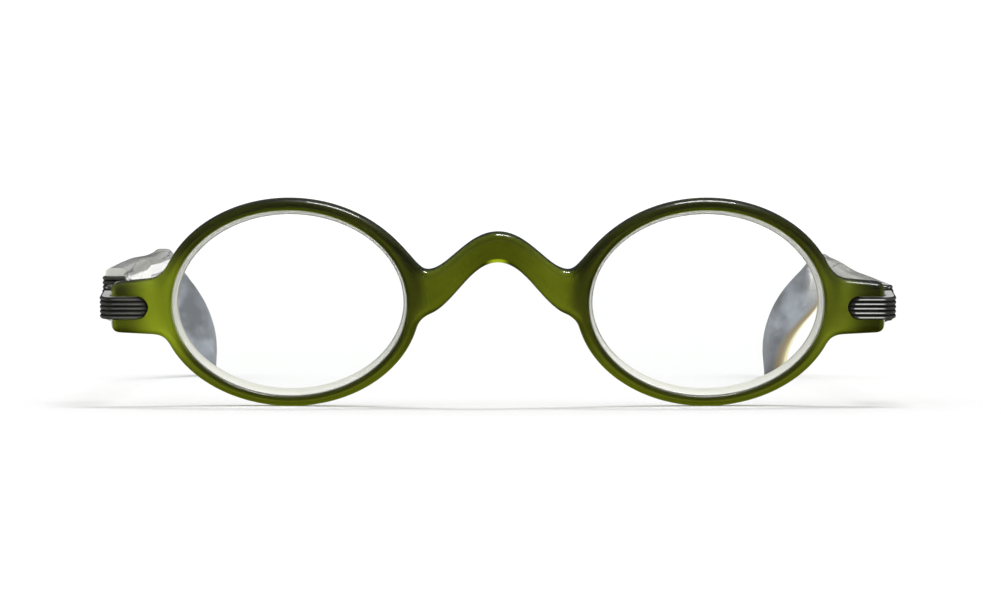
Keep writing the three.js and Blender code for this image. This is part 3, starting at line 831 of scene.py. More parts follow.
# %% Gunmetal
REED_DARK = (0.012, 0.012, 0.012)
REED_GREY = (0.13, 0.13, 0.122)
HIGHLIGHT_GREY = (0.75, 0.75, 0.75)
HIGHLIGHT_WHITE = (1.0, 1.0, 0.98)
# The cut sides' colour: bare metal, painted pale for the bright reflection it catches.
CUT_SHEEN_GREY = (0.5, 0.5, 0.49)


def gunmetal():
    """Dark metal with painted shade in its hollows, a painted highlight on its crests, and bare metal with
    a painted sheen where it is cut.
    """
    material, m = new_material("gunmetal")
    low, cut, tone_and_painted_light = point_marks(m, "low", "cut", "tone_and_painted_light")
    grain = clouds(m, 900, detail=4, stretch=(1, 1, 3))
    patches = clouds(m, 260, detail=2)
    crest = 1 - low.step(0.015, 0.12)
    flat = cut.step(0.6, 0.9)
    # Uneven tone, darkened by painted shade in the reeds' hollows.
    tone_and_hollow_shade = (patches.step(0.3, 0.7) * 0.5 + grain * 0.5) * (1 - low.step(0.2, 0.75))
    dark = m.node("ShaderNodeBsdfPrincipled", inputs={
        "Base Color": tone_and_hollow_shade.tint(REED_DARK, REED_GREY),
        "Metallic": 0.5,
        "Roughness": 0.3 + grain * 0.12 + low * 0.2,
        "Normal": bumps(m, grain, 6e-6),
    })
    # Painted highlight on the crests, and bare metal with a painted sheen on the cut sides.
    bare_and_sheen = m.node("ShaderNodeBsdfPrincipled", inputs={
        "Base Color": flat.tint(patches.tint(HIGHLIGHT_GREY, HIGHLIGHT_WHITE), CUT_SHEEN_GREY),
        "Metallic": 0.3,
        "Roughness": 0.45 + grain * 0.2,
        "Normal": bumps(m, grain, 1e-5),
    })
    shown = m.math("MAXIMUM", flat, crest * tone_and_painted_light)
    put_out(material, m.node("ShaderNodeMixShader", inputs={0: shown, 1: dark, 2: bare_and_sheen}))
    return material


GUNMETAL = gunmetal()
print("gunmetal:", len(GUNMETAL.node_tree.nodes), "nodes")

# %% The bent, reeded strip
REED_PITCH = 0.75
REED_DEPTH = 0.22
REED_POINTS = 16
STRIP_ROWS = 72
ROWS_CROWD = 1.8
EDGE_ROUND = 0.2
NOSE_FALL = 0.55
NOSE_REACH = 1.3
HIGHLIGHT_UNTIL = (-0.6, 0.2)


def bend(s, start, along, out, first, radius):
    """A strip's place and outward side at length s: straight for the first length, a quarter turn, and
    straight again."""
    start, along, out = (np.array(v, dtype=float) for v in (start, along, out))
    turn = np.clip((s - first) / radius, 0, pi / 2)[..., None]
    side = np.cos(turn) * out + np.sin(turn) * along
    centre = start + along * first - out * radius
    before = np.minimum(s - first, 0)[..., None] * along
    after = np.maximum(s - first - radius * pi / 2, 0)[..., None] * -out
    return centre + side * radius + before + after, side


def reeded_strip(reeds, thick, length, start, along, out, first, radius, tone_and_painted_light):
    """Rings of a reeded strip: the outer side lies below the bend's line by the reeds' hollows and the round
    fall at the sides and at the nose; the inner side lies a thickness below it. The nose is a half circle."""
    half = reeds * REED_PITCH / 2
    z = np.linspace(-half, half, reeds * REED_POINTS + 1)
    nose = half - np.sqrt(np.maximum(half ** 2 - z ** 2, 0))
    s = nose + np.linspace(0, 1, STRIP_ROWS)[:, None] ** ROWS_CROWD * (length - nose)
    hollow = 1 - np.abs(np.sin(pi * (z + half) / REED_PITCH))
    edge = 1 - np.clip((half - np.abs(z)) / EDGE_ROUND, 0, 1)
    tip = 1 - np.clip((s - nose) / NOSE_REACH, 0, 1)
    fall = np.maximum(EDGE_ROUND * (1 - np.sqrt(1 - edge ** 2)), NOSE_FALL * tip ** 2)
    place, side = bend(s, start, along, out, first, radius)
    outer = place - side * (REED_DEPTH * hollow + fall)[..., None]
    inner = place - side * thick
    height = np.broadcast_to(z, s.shape)[..., None]
    skin = [np.concatenate([flat, height], axis=-1) for flat in (outer, inner)]
    low = np.clip(np.maximum(hollow, fall / NOSE_FALL), 0, 1)
    cut = np.broadcast_to(np.isclose(np.abs(z), half), s.shape).astype(float)
    # Painted highlight on the crests of the face leg, fading out past the bend.
    painted_highlight = tone_and_painted_light * (1 - smooth(*HIGHLIGHT_UNTIL, s - first))
    marks = {"low": (low, 0 * low + 1), "cut": (cut, cut), "tone_and_painted_light": (painted_highlight, 0 * low)}
    marks = {mark: np.concatenate(both, axis=1) for mark, both in marks.items()}
    return np.concatenate([skin[0], skin[1][:, ::-1]], axis=1), marks


def strip_faces(rows, columns):
    """A ring's quads along the strip, and each end closed by quads between its outer and inner side."""
    i = np.arange(columns // 2 - 1)
    cap = np.stack([i, i + 1, columns - 2 - i, columns - 1 - i], axis=1)
    return grid_faces(rows, columns), cap, cap + (rows - 1) * columns


print("reeds:", REED_PITCH, "mm apart")

# %% Front plates with their outer knuckles
FRONT_REEDS = 5
# How strong the painted highlight on each front plate's crests is.
CREST_HIGHLIGHT = {"right": 1.0, "left": 0.12}
BEND_INSIDE = 0.2
KNUCKLE_R = 1.35
KNUCKLE_H = 1.15
KNUCKLE_GAP = 0.1
PLATE_OUTER_X = AXIS_X + KNUCKLE_R
PLATE_CORNER = PLATE_THICK + BEND_INSIDE
FRONT_KNUCKLE_ARC = (0, 270)
LEG_GAP = 0.25
LEG_END = HINGE_BACK - KNUCKLE_R - LEG_GAP
TAIL_LAP = 0.6
PIN_R = 0.55
PIN_CLEAR = 0.06
BORE_REACH = 4


def keyhole(centre, start, end, tail):
    """A knuckle's outline: an arc round the hinge axis and the corners of the tail that joins it on."""
    return np.concatenate([oval(centre, KNUCKLE_R, KNUCKLE_R, start, end, steps=49), tail])


def pin_bore(centre):
    """A round hole along the hinge axis."""
    radius = PIN_R + PIN_CLEAR
    return extruded(oval(centre, radius, radius, 0, 360, steps=41)[:-1], -BORE_REACH, BORE_REACH, "z")


def front_plate(side):
    """A reeded strip from its nose on the end piece round the corner, with two knuckles and their bore."""
    first = PLATE_OUTER_X - PLATE_CORNER - PLATE_END_X
    length = first + PLATE_CORNER * pi / 2 + LEG_END - (PLATE_CORNER - PLATE_PROUD)
    start, along, out = (PLATE_END_X, -PLATE_PROUD), (1, 0), (0, -1)
    strip, marks = reeded_strip(
        FRONT_REEDS, PLATE_THICK, length, start, along, out, first, PLATE_CORNER, CREST_HIGHLIGHT[side])
    lift = np.array([0, 0, HINGE_DROP])
    faces = strip_faces(*strip.shape[:2])
    plate = solid(f"{side}_reeded_front_plate", on_front(strip + lift, side), *faces, marks=marks)
    axis = (AXIS_X, HINGE_BACK)
    tail = [(AXIS_X, LEG_END - TAIL_LAP), (PLATE_OUTER_X, LEG_END - TAIL_LAP)]
    outline = keyhole(axis, *FRONT_KNUCKLE_ARC, tail)
    heights = [(PLATE_HALF - KNUCKLE_H, PLATE_HALF), (-PLATE_HALF, KNUCKLE_H - PLATE_HALF)]
    knuckles = [on_front(extruded(outline, a, b, "z") + lift, side) for a, b in heights]
    joined(plate, tool("knuckles", *knuckles), "UNION")
    return joined(plate, tool("bore", on_front(pin_bore(axis) + lift, side)))


for side in SIGN:
    piece = front_plate(side)
    piece.data.materials.append(GUNMETAL)
    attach(piece, "front")
    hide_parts(f"{side}_front_plate")
    print(piece.name, len(piece.data.polygons), "faces")

# %% Temple plates with their middle knuckle
BUTT_Y = 1.95
TEMPLE_PLATE_LENGTH = 14.0
TEMPLE_PLATE_THICK = 1.2
TEMPLE_PLATE_OUTER = 1.9
TEMPLE_INNER = -2.1
TEMPLE_OUTER = 1.4
TEMPLE_REEDS = 8
BUTT_SHORT = 0.15
TAIL_DEPTH = 0.7
TAIL_SIDES = (1.1, -0.9)
TEMPLE_KNUCKLE_ARC = (132, 395)
LIFT = {"right": -0.75, "left": 0.75}


def temple_plate(side):
    """A reeded strip from its nose on the temple round the butt end, with the middle knuckle and its bore."""
    corner = TEMPLE_PLATE_THICK + BEND_INSIDE
    first = TEMPLE_PLATE_LENGTH - corner
    length = first + corner * pi / 2 + TEMPLE_PLATE_OUTER - corner - (TEMPLE_INNER + BUTT_SHORT)
    start, along, out = (TEMPLE_PLATE_OUTER, BUTT_Y + TEMPLE_PLATE_LENGTH), (0, -1), (1, 0)
    strip, marks = reeded_strip(
        TEMPLE_REEDS, TEMPLE_PLATE_THICK, length, start, along, out, first, corner, 0.0)
    faces = strip_faces(*strip.shape[:2])
    lifted = on_temple(strip + (0, 0, LIFT[side]), side)
    plate = solid(f"{side}_reeded_temple_plate", lifted, *faces, marks=marks)
    middle = PLATE_HALF - KNUCKLE_H - KNUCKLE_GAP
    tail = [(x, BUTT_Y + TAIL_DEPTH) for x in TAIL_SIDES]
    outline = keyhole((0, 0), *TEMPLE_KNUCKLE_ARC, tail)
    joined(plate, tool("knuckle", at_hinge(extruded(outline, -middle, middle, "z"), side)), "UNION")
    return joined(plate, tool("bore", at_hinge(pin_bore((0, 0)), side)))


for side in SIGN:
    piece = temple_plate(side)
    piece.data.materials.append(GUNMETAL)
    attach(piece, f"{side}_arm")
    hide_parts(f"{side}_temple_plate")
    print(piece.name, len(piece.data.polygons), "faces")

# %% [markdown]
# ## Screws and rivets
# These are turned steel: a profile goes round the z axis, then is laid along the rivet's or hinge's own axis.
# The screw's slot is cut afterwards. Fine noise in the steel's roughness stands for the marks of the tools.

# %% Steel
STEEL_GREY = (0.42, 0.43, 0.46)
STEEL_BRIGHT = (0.68, 0.69, 0.71)


def steel():
    """Satin metal with an uneven polish."""
    material, m = new_material("steel")
    grain = clouds(m, 2500, detail=3)
    patches = clouds(m, 400, detail=2)
    shader = m.node("ShaderNodeBsdfPrincipled", inputs={
        "Base Color": patches.tint(STEEL_GREY, STEEL_BRIGHT),
        "Metallic": 1.0,
        "Roughness": 0.2 + grain * 0.25,
        "Normal": bumps(m, grain, 3e-6),
    })
    put_out(material, shader)
    return material


STEEL = steel()
print("steel:", len(STEEL.node_tree.nodes), "nodes")

# %% Rivets
RIVET_HEAD_R = 0.95
RIVET_HEAD_H = 0.45
RIVET_HEAD_SIDE = 0.12
RIVET_BEVEL = 0.05
SEAT_GAP = 0.05
RIVET_SHORT = 0.15
PLATE_BACK_X = TEMPLE_PLATE_OUTER - TEMPLE_PLATE_THICK
TEMPLE_RIVET_START = PLATE_BACK_X - RIVET_SHORT
TEMPLE_RIVETS = ((8.2, 1.35), (11.8, -1.35))


def rivet_profile(length):
    """Radius and height: a shank, then a head whose dome is a quarter ellipse."""
    t = np.linspace(0, pi / 2, 9)
    rise = RIVET_HEAD_SIDE + (RIVET_HEAD_H - RIVET_HEAD_SIDE) * np.sin(t)
    dome = np.stack([RIVET_HEAD_R * np.cos(t), length + rise], axis=1)
    foot = [(0, 0), (RIVET_R - RIVET_BEVEL, 0), (RIVET_R, RIVET_BEVEL)]
    return np.concatenate([foot, [(RIVET_R, length), (RIVET_HEAD_R, length)], dome])


def front_rivet(x, side):
    """A rivet along +y: from the pocket's floor to a head on the end piece's back."""
    rings = lathe(rivet_profile(FRONT_THICK + SEAT_GAP - POCKET_FLOOR))
    return on_front(rings[..., [0, 2, 1]] + (x, POCKET_FLOOR + SEAT_GAP, HINGE_DROP), side)


def temple_rivet(y, z, side):
    """A rivet along -x: from the temple plate's back to a head on the temple's inner face."""
    rings = lathe(rivet_profile(TEMPLE_RIVET_START - TEMPLE_INNER + SEAT_GAP))
    return on_temple(rings[..., [2, 0, 1]] * (-1, 1, 1) + (TEMPLE_RIVET_START, y, z + LIFT[side]), side)


def turned_rivet(name, rings, node, body):
    """One rivet as a closed piece that stands for its node."""
    piece = solid(name, rings, grid_faces(*rings.shape[:2]))
    piece.data.materials.append(STEEL)
    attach(piece, body)
    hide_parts(node)


print(f"rivets {2 * RIVET_R:.1f} mm thick with heads of {2 * RIVET_HEAD_R:.1f} mm")

# %% Hinge screws
PIN_BEVEL = 0.1
SCREW_HEAD_FROM = PLATE_HALF + SEAT_GAP
SCREW_HEAD_R = 1.0
SCREW_HEAD_ROUND = 0.2
SCREW_HEAD_SIDE = 0.22
SCREW_HEAD_H = 0.45
SLOT_HALF = 0.14
SLOT_REACH = 2
SLOT_FROM = SCREW_HEAD_FROM + 0.2
SLOT_TO = SCREW_HEAD_FROM + 1


def hinge_screw(side):
    """A pin with a low round head on top, and a slot cut across the head."""
    t = np.linspace(0, pi / 2, 7)
    wide = SCREW_HEAD_R - SCREW_HEAD_ROUND + SCREW_HEAD_ROUND * np.cos(t)
    rise = SCREW_HEAD_SIDE + (SCREW_HEAD_H - SCREW_HEAD_SIDE) * np.sin(t)
    crown = np.stack([wide, SCREW_HEAD_FROM + rise], axis=1)
    foot = [(0, -PLATE_HALF), (PIN_R - PIN_BEVEL, -PLATE_HALF), (PIN_R, PIN_BEVEL - PLATE_HALF)]
    neck = [(PIN_R, SCREW_HEAD_FROM), (SCREW_HEAD_R, SCREW_HEAD_FROM)]
    rings = lathe(np.concatenate([foot, neck, crown, [(0, SCREW_HEAD_FROM + SCREW_HEAD_H)]]), 64)
    screw = solid(f"{side}_turned_hinge_screw", at_hinge(rings, side), grid_faces(*rings.shape[:2]))
    corners = np.array([(-1, -1), (1, -1), (1, 1), (-1, 1)]) * (SLOT_REACH, SLOT_HALF)
    return joined(screw, tool("slot", at_hinge(extruded(corners, SLOT_FROM, SLOT_TO, "z"), side)))


print(f"screws {2 * PIN_R:.1f} mm thick with heads of {2 * SCREW_HEAD_R:.1f} mm")

# %% Screws and rivets in their places
for side in SIGN:
    for i, x in enumerate(FRONT_RIVETS, 1):
        rings = front_rivet(x, side)
        turned_rivet(f"{side}_domed_front_rivet_{i}", rings, f"{side}_front_rivet_{i}", "front")
    for i, (y, z) in enumerate(TEMPLE_RIVETS, 1):
        rings = temple_rivet(y, z, side)
        turned_rivet(f"{side}_domed_temple_rivet_{i}", rings, f"{side}_temple_rivet_{i}", f"{side}_arm")
    piece = hinge_screw(side)
    piece.data.materials.append(STEEL)
    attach(piece, "front")
    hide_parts(f"{side}_hinge_screw")
    print(piece.name, len(piece.data.polygons), "faces")

# %% [markdown]
# ## Temples and their cores
# A temple is a bar of clear acetate, bent down behind the ear and set inwards at the tip, with a flat metal
# core that widens in the tip. Both are rounded oblong rings carried along one centre line: straight, an arc,
# then straight. The tip closes on a half circle. The two temples were finished by hand and differ: the left
# one starts higher, with a fuller top edge and a deeper underside by the hinge, and the right one starts
# lower. The acetate is clear at the hinge, with fine dark crazing. Towards the tip it is matt and smoky grey,
# which a mask along the temple's length mixes in. On the right tip, painted shade darkens the smoke above and
# below the middle of its height, and a painted warm glint runs along its outer lower edge, which a mark on
# the points gives.

# %% Clear acetate
SMOKE_STARTS = (0.036, 0.052)
SMOKE_MOST = 0.96
TIP_MIDDLE = 0.0125
TIP_FADE = (0.003, 0.009)
CRAZED_GREY = (0.4, 0.4, 0.38)
CLEAR_CREAM = (0.93, 0.92, 0.82)
CLEAR_WHITE = (0.98, 0.98, 0.97)
SMOKE_DARK = (0.068, 0.077, 0.094)
SMOKE_PALE = (0.36, 0.40, 0.46)
GLINT_BROWN = (0.26, 0.19, 0.09)
GLINT_YELLOW = (0.97, 0.90, 0.52)
TEMPLE_SHADE = (0.9, 0.9, 0.9, 1)
TEMPLE_THROUGH = (0.9, 0.92, 0.9, 1)
TEMPLE_DENSITY = 60.0


def clear_acetate():
    """Clear acetate with crazing by the hinge, which turns matt and smoky towards the tip, where the right
    one gets painted shade and a painted warm glint.
    """
    material, m = new_material("clear_acetate")
    place = m.node("ShaderNodeTexCoord", output="Object")
    parts = [m.node("ShaderNodeSeparateXYZ", inputs={0: place}, output=axis) for axis in "XYZ"]
    across, along, height = parts
    mottle = clouds(m, 170, detail=5, stretch=(1, 0.25, 1))
    specks = clouds(m, 1600, stretch=(1, 0.25, 1)).step(0.62, 0.72) * mottle.step(0.45, 0.6)
    streak = clouds(m, 120, detail=3, stretch=(1, 0.3, 1))
    crazing = m.math("ABSOLUTE", clouds(m, 260, detail=2, stretch=(1, 0.08, 1)) - 0.5).step(0.0, 0.016)
    polish = clouds(m, 500, detail=2)
    edge, = point_marks(m, "edge")
    pale = streak.step(0.3, 0.7).tint(CLEAR_CREAM, CLEAR_WHITE)
    clear = m.node("ShaderNodeBsdfPrincipled", inputs={
        "Base Color": crazing.tint(CRAZED_GREY, pale),
        "Roughness": 0.02 + streak * 0.05,
        "IOR": ACETATE_IOR,
        "Specular IOR Level": 0.25,
        "Transmission Weight": 0.35,
        "Normal": bumps(m, polish, 6e-6),
    })
    right = across.step(*LEFT_TO_RIGHT)
    middle = 1 - m.math("ABSOLUTE", height - TIP_MIDDLE).step(*TIP_FADE)
    haze = mottle.step(0.35, 0.65) * 0.75 + 0.1 + specks * 0.5
    # Smoky tone; on the right tip painted shade darkens it above and below the middle of its height.
    tone_and_painted_light = (haze * right.mix(1.0, 0.3 + middle * 0.65)).tint(SMOKE_DARK, SMOKE_PALE)
    # Painted glint: a warm brown, then yellow line along the right tip's outer lower edge.
    painted_warm_edge = (edge.step(0.0, 0.35) * right).tint(tone_and_painted_light, GLINT_BROWN)
    smoky = m.node("ShaderNodeBsdfPrincipled", inputs={
        "Base Color": (edge.step(0.3, 0.8) * right).tint(painted_warm_edge, GLINT_YELLOW),
        "Roughness": 0.5 + mottle * 0.2,
        "IOR": ACETATE_IOR,
        "Normal": bumps(m, mottle, 3e-5),
    })
    smoke = along.step(*SMOKE_STARTS) * SMOKE_MOST
    mixed = m.node("ShaderNodeMixShader", inputs={0: smoke, 1: clear, 2: smoky})
    put_out(material, lamps_pass(m, mixed, TEMPLE_SHADE))
    absorb = m.node("ShaderNodeVolumeAbsorption", inputs={"Color": TEMPLE_THROUGH, "Density": TEMPLE_DENSITY})
    put_out(material, absorb, "Volume")
    return material


CLEAR = clear_acetate()
print("clear acetate:", len(CLEAR.node_tree.nodes), "nodes")

# %% Core metal
CORE_GREY = (0.30, 0.32, 0.36)
CORE_BRIGHT = (0.50, 0.53, 0.58)


def core_metal():
    """Mottled grey metal with a grain along the strip."""
    material, m = new_material("core_metal")
    mottle = clouds(m, 350, detail=5)
    grain = clouds(m, 1500, detail=3, stretch=(1, 0.15, 1))
    shader = m.node("ShaderNodeBsdfPrincipled", inputs={
        "Base Color": mottle.step(0.3, 0.7).tint(CORE_GREY, CORE_BRIGHT),
        "Metallic": 1.0,
        "Roughness": 0.32 + grain * 0.2,
        "Normal": bumps(m, mottle + grain * 0.5, 1.5e-5),
    })
    put_out(material, shader)
    return material


CORE = core_metal()
print("core metal:", len(CORE.node_tree.nodes), "nodes")

# %% How tall the temples and cores are, and how high they run
HINGE_HALF = 3.3
SIDE_LESS = 0.2
TIP_MORE = 1.5
SIDE_RANGE = (20, 60)
TIP_RANGE = (86, 123)
SLIM = {"right": 1.4, "left": 1.65}
SLIM_FROM = (43, 54)
SLIM_UNTIL = (88, 116)
CROWN = {"right": 0.0, "left": 1.0}
CROWN_UNTIL = (100, 126)
BELLY = {"right": 0.0, "left": 1.3}
LIFT_UNTIL = (40, 80)
CORE_HALF = 0.55
CORE_SIDE_MORE = 0.2
CORE_TIP_MORE = 1.75
CORE_TIP_RANGE = (90, 124)


def slim(s, side):
    """Half of how far the underside is drawn in along the side."""
    return SLIM[side] * smooth(*SLIM_FROM, s) * (1 - smooth(*SLIM_UNTIL, s))


def crown(s, side):
    """How far the top edge alone is raised: all along the side, and no more at the tip."""
    return CROWN[side] * (1 - smooth(*CROWN_UNTIL, s))


def belly(s, side):
    """How far the underside alone is lowered: by the hinge, up to where it is drawn in."""
    return BELLY[side] * (1 - smooth(*SLIM_FROM, s))


def core_height(s, side):
    """The core's middle above the centre line: the hinge end's lift, then what the drawn-in underside
    gives."""
    return LIFT[side] * (1 - smooth(*LIFT_UNTIL, s)) + slim(s, side)


def temple_height(s, side):
    """The temple's middle above the centre line: the core's, half the crown up and half the belly down."""
    return core_height(s, side) + (crown(s, side) - belly(s, side)) / 2


def temple_half(s, side):
    """Half the temple's height: slimmer along the side than at the hinge, and taller at the tip."""
    plain = HINGE_HALF - SIDE_LESS * smooth(*SIDE_RANGE, s) + TIP_MORE * smooth(*TIP_RANGE, s)
    return plain - slim(s, side) + (crown(s, side) + belly(s, side)) / 2


def core_half(s, side):
    """Half the core's height, alike on both sides: slim, then a broad blade in the tip."""
    return CORE_HALF + CORE_SIDE_MORE * smooth(*SIDE_RANGE, s) + CORE_TIP_MORE * smooth(*CORE_TIP_RANGE, s)


where = np.array([10.0, 70.0, 125.0])
for side in SIGN:
    print(side, "temple", np.round(2 * temple_half(where, side), 2), "mm tall at", where, "mm")

# %% Bars along the temple's centre line
BEND_START = 93.5
BEND_RADIUS = 41.5
BEND_ANGLE = radians(49)
BEND_END = BEND_START + BEND_RADIUS * BEND_ANGLE
TIP_INSET = 6.0
INSET_RANGE = (107.5, 128.5)
SIDE_THINNER = 0.15
THINNER_RANGE = (24, 90)
TIP_THICKER = 0.3
THICKER_RANGE = (104, 126)
MOST_ROUND = 0.95
EDGE_BESIDE = (0.1, 1.0)
EDGE_BELOW = (0.7, 0.95)
BAR_ROWS = 150
TIP_ROWS = 24


def centre_line(s):
    """Place and upward direction at length s, seen from the side: straight, an arc down, straight."""
    turn = np.clip((s - BEND_START) / BEND_RADIUS, 0, BEND_ANGLE)
    along = np.stack([np.cos(turn), -np.sin(turn)], axis=-1)
    at = np.stack([np.minimum(s, BEND_START), np.zeros_like(s)], axis=-1)
    at += BEND_RADIUS * np.stack([np.sin(turn), np.cos(turn) - 1], axis=-1)
    at += along * np.maximum(s - BEND_END, 0)[..., None]
    return at, np.stack([-along[..., 1], along[..., 0]], axis=-1)


def oblong(wide, high, corner, steps=9):
    """Points round a rounded oblong: four quarter circles about the corners' centres."""
    turn = np.concatenate([np.linspace(k, k + 90, steps) for k in (0, 90, 180, 270)]) * pi / 180
    sx, sz = (np.repeat(signs, steps) for signs in ([1, -1, -1, 1], [1, 1, -1, -1]))
    x = sx * (wide - corner)[:, None] + corner[:, None] * np.cos(turn)
    z = sz * (high - corner)[:, None] + corner[:, None] * np.sin(turn)
    return x, z


def bar(half, height, side, thick, corner, start, end, tip):
    """Rounded oblong rings above the centre line; past the end, a tip whose height and width close round."""
    s = np.linspace(start, end, BAR_ROWS)
    high, wide = half(s, side), np.ones_like(s)
    t = np.sin(np.linspace(0, pi / 2, TIP_ROWS)[1:]) if tip else np.zeros(0)
    reach = half(np.array([end]), side)
    s = np.concatenate([s, end + reach * t])
    high = np.concatenate([high, reach * np.sqrt(1 - t ** 2)])
    wide = np.concatenate([wide, np.sqrt(np.maximum(1 - t ** 8, 0))])
    at, up = centre_line(s)
    back = at[:, 0]
    change = 1 - SIDE_THINNER * smooth(*THINNER_RANGE, back) + TIP_THICKER * smooth(*THICKER_RANGE, back)
    deep = thick * wide * change / 2
    round_by = np.minimum(np.minimum(high, deep) * MOST_ROUND, corner)
    x, z = oblong(deep, high, round_by)
    inset = -TIP_INSET * smooth(*INSET_RANGE, back)
    spot = at[:, None, :] + up[:, None, :] * (z + height(s, side)[:, None])[..., None]
    middle = (TEMPLE_INNER + TEMPLE_OUTER) / 2
    beside, below = (v / np.maximum(size, 0.1)[:, None] for v, size in ((x, deep), (-z, high)))
    edge = smooth(*EDGE_BESIDE, beside) * smooth(*EDGE_BELOW, below)
    return np.concatenate([(middle + inset[:, None] + x)[..., None], spot], axis=-1), {"edge": edge}


def bar_piece(name, rings, marks, side):
    """A bar as a closed mesh on its temple, kept from reaching below the floor."""
    points = on_temple(rings, side)
    points[..., 2] = np.maximum(points[..., 2], 0)
    return solid(name, points, grid_faces(*rings.shape[:2]), *ends(*rings.shape[:2]), marks=marks)


print(f"centre line bends down by {BEND_ANGLE / pi * 180:.0f} degrees from {BEND_START} mm on")

# %% Both temples and their cores
TEMPLE_GAP = 0.15
TEMPLE_START = BUTT_Y + TEMPLE_PLATE_THICK + TEMPLE_GAP
TEMPLE_END = BEND_END + 5.0
TEMPLE_THICK = TEMPLE_OUTER - TEMPLE_INNER
TEMPLE_ROUND = 0.9
SEAT_LENGTH = 30
CUT_OUTSIDE = 4
CUT_INSIDE = -6
CORE_GAP = 0.4
CORE_SHORT = 3.2
CORE_START = BUTT_Y + TEMPLE_PLATE_THICK + CORE_GAP
CORE_END = TEMPLE_END - CORE_SHORT
CORE_THICK = 0.9
CORE_ROUND = 0.25


def seat(side):
    """The slot for the temple plate: its bullet outline with a little clearance, open at the hinge end."""
    half = TEMPLE_REEDS * REED_PITCH / 2 + POCKET_CLEAR
    back = BUTT_Y + TEMPLE_PLATE_LENGTH + POCKET_CLEAR
    outline = bullet(0, half, SEAT_LENGTH) * (-1, 1) + (back, LIFT[side])
    return on_temple(extruded(outline, PLATE_BACK_X - POCKET_CLEAR, CUT_OUTSIDE, "x"), side)


def temple_hole(y, z, side):
    """A rivet hole across the temple."""
    return on_temple(extruded(hole_ring(y, z + LIFT[side]), CUT_INSIDE, CUT_OUTSIDE, "x"), side)


for side in SIGN:
    ends_at = (TEMPLE_START, TEMPLE_END)
    rings, marks = bar(temple_half, temple_height, side, TEMPLE_THICK, TEMPLE_ROUND, *ends_at, True)
    temple = bar_piece(f"{side}_clear_temple", rings, marks, side)
    joined(temple, tool("seat", seat(side)))
    joined(temple, tool("holes", *[temple_hole(y, z, side) for y, z in TEMPLE_RIVETS]))
    ends_at = (CORE_START, CORE_END)
    rings, marks = bar(core_half, core_height, side, CORE_THICK, CORE_ROUND, *ends_at, False)
    core = bar_piece(f"{side}_flat_core", rings, marks, side)
    for piece, material, node, slot in (
        (temple, CLEAR, f"{side}_temple", "crystal_acetate"),
        (core, CORE, f"{side}_temple_core", "core_metal"),
    ):
        piece.data.materials.append(material)
        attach(piece, f"{side}_arm")
        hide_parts(node)
        print(piece.name, len(piece.data.polygons), "faces")

# %% [markdown]
# ## The studio
# Clear and translucent things are shaped by what stands behind and above them. The floor and the horizon are
# white and the sky is dark, so rims get a dark upper edge and a glowing lower one. One softbox hangs
# overhead, a little behind and to the right, and draws the thin white lines along the rims. Two dark cards,
# which only gloss can see, keep the reflections in the green deep: a black one stands and an olive one lies.
# Gloss sees a sky that is darker still, and matt things an even one. The floor is a graduated paper, greyest
# below the softbox, so that paper and light together come out just white everywhere and the shadows still
# show.

# %% The floor
SHEET_POINTS = 9
FLOOR_SIZE = 12.0
FLOOR_DROP = 2e-5
FLOOR_SEEN = 1.05
SOFTBOX_AT = (0.10, 0.07, 0.60)
SOFTBOX_SIZE = (0.26, 0.11)
SOFTBOX_RADIANCE = 17.0
SKY_LIGHT = 1.12


def flat_sheet(name, width, depth):
    """A flat rectangle as a grid of two parameters, a little finer than it needs to be."""
    share = np.linspace(-0.5, 0.5, SHEET_POINTS)
    u, v = np.meshgrid(share, share)
    points = np.stack([u * width, v * depth, np.zeros_like(u)], axis=-1)
    mesh = bpy.data.meshes.new(name)
    corners = grid_faces(SHEET_POINTS, SHEET_POINTS, around=False)
    mesh.from_pydata(points.reshape(-1, 3).tolist(), [], corners.tolist())
    made = bpy.data.objects.new(name, mesh)
    bpy.context.scene.collection.objects.link(made)
    return made


def floor_paint():
    """Paper whose grey is the wanted brightness over the light there: the sky's, and the softbox's by its
    distance."""
    material, m = new_material("floor_paint")
    place = m.node("ShaderNodeTexCoord", output="Object")
    x, y = (m.node("ShaderNodeSeparateXYZ", inputs={0: place}, output=axis) for axis in "XY")
    x, y = x - SOFTBOX_AT[0], y - SOFTBOX_AT[1]
    away = x * x + y * y + SOFTBOX_AT[2] ** 2
    power = SOFTBOX_RADIANCE * SOFTBOX_SIZE[0] * SOFTBOX_SIZE[1] * SOFTBOX_AT[2] ** 2 / pi
    light = m.math("DIVIDE", power, away * away) + SKY_LIGHT
    grey = m.math("DIVIDE", FLOOR_SEEN, light)
    put_out(material, m.node("ShaderNodeBsdfDiffuse", inputs={"Color": grey.tint((0, 0, 0), (1, 1, 1))}))
    return material


floor = flat_sheet("floor", FLOOR_SIZE, FLOOR_SIZE)
floor.location.z = -FLOOR_DROP
floor.data.materials.append(floor_paint())
print("floor", FLOOR_SIZE, "m wide")

# %% Two cards for the reflections
CARD_WIDTH = 2.4
CARD_BLACK = (0.005, 0.005, 0.005)
CARD_OLIVE = (0.08, 0.09, 0.002)


def card_paint(name, colour):
    """Matt paint of one colour."""
    material, m = new_material(name)
    put_out(material, m.node("ShaderNodeBsdfDiffuse", inputs={"Color": (*colour, 1)}))
    return material


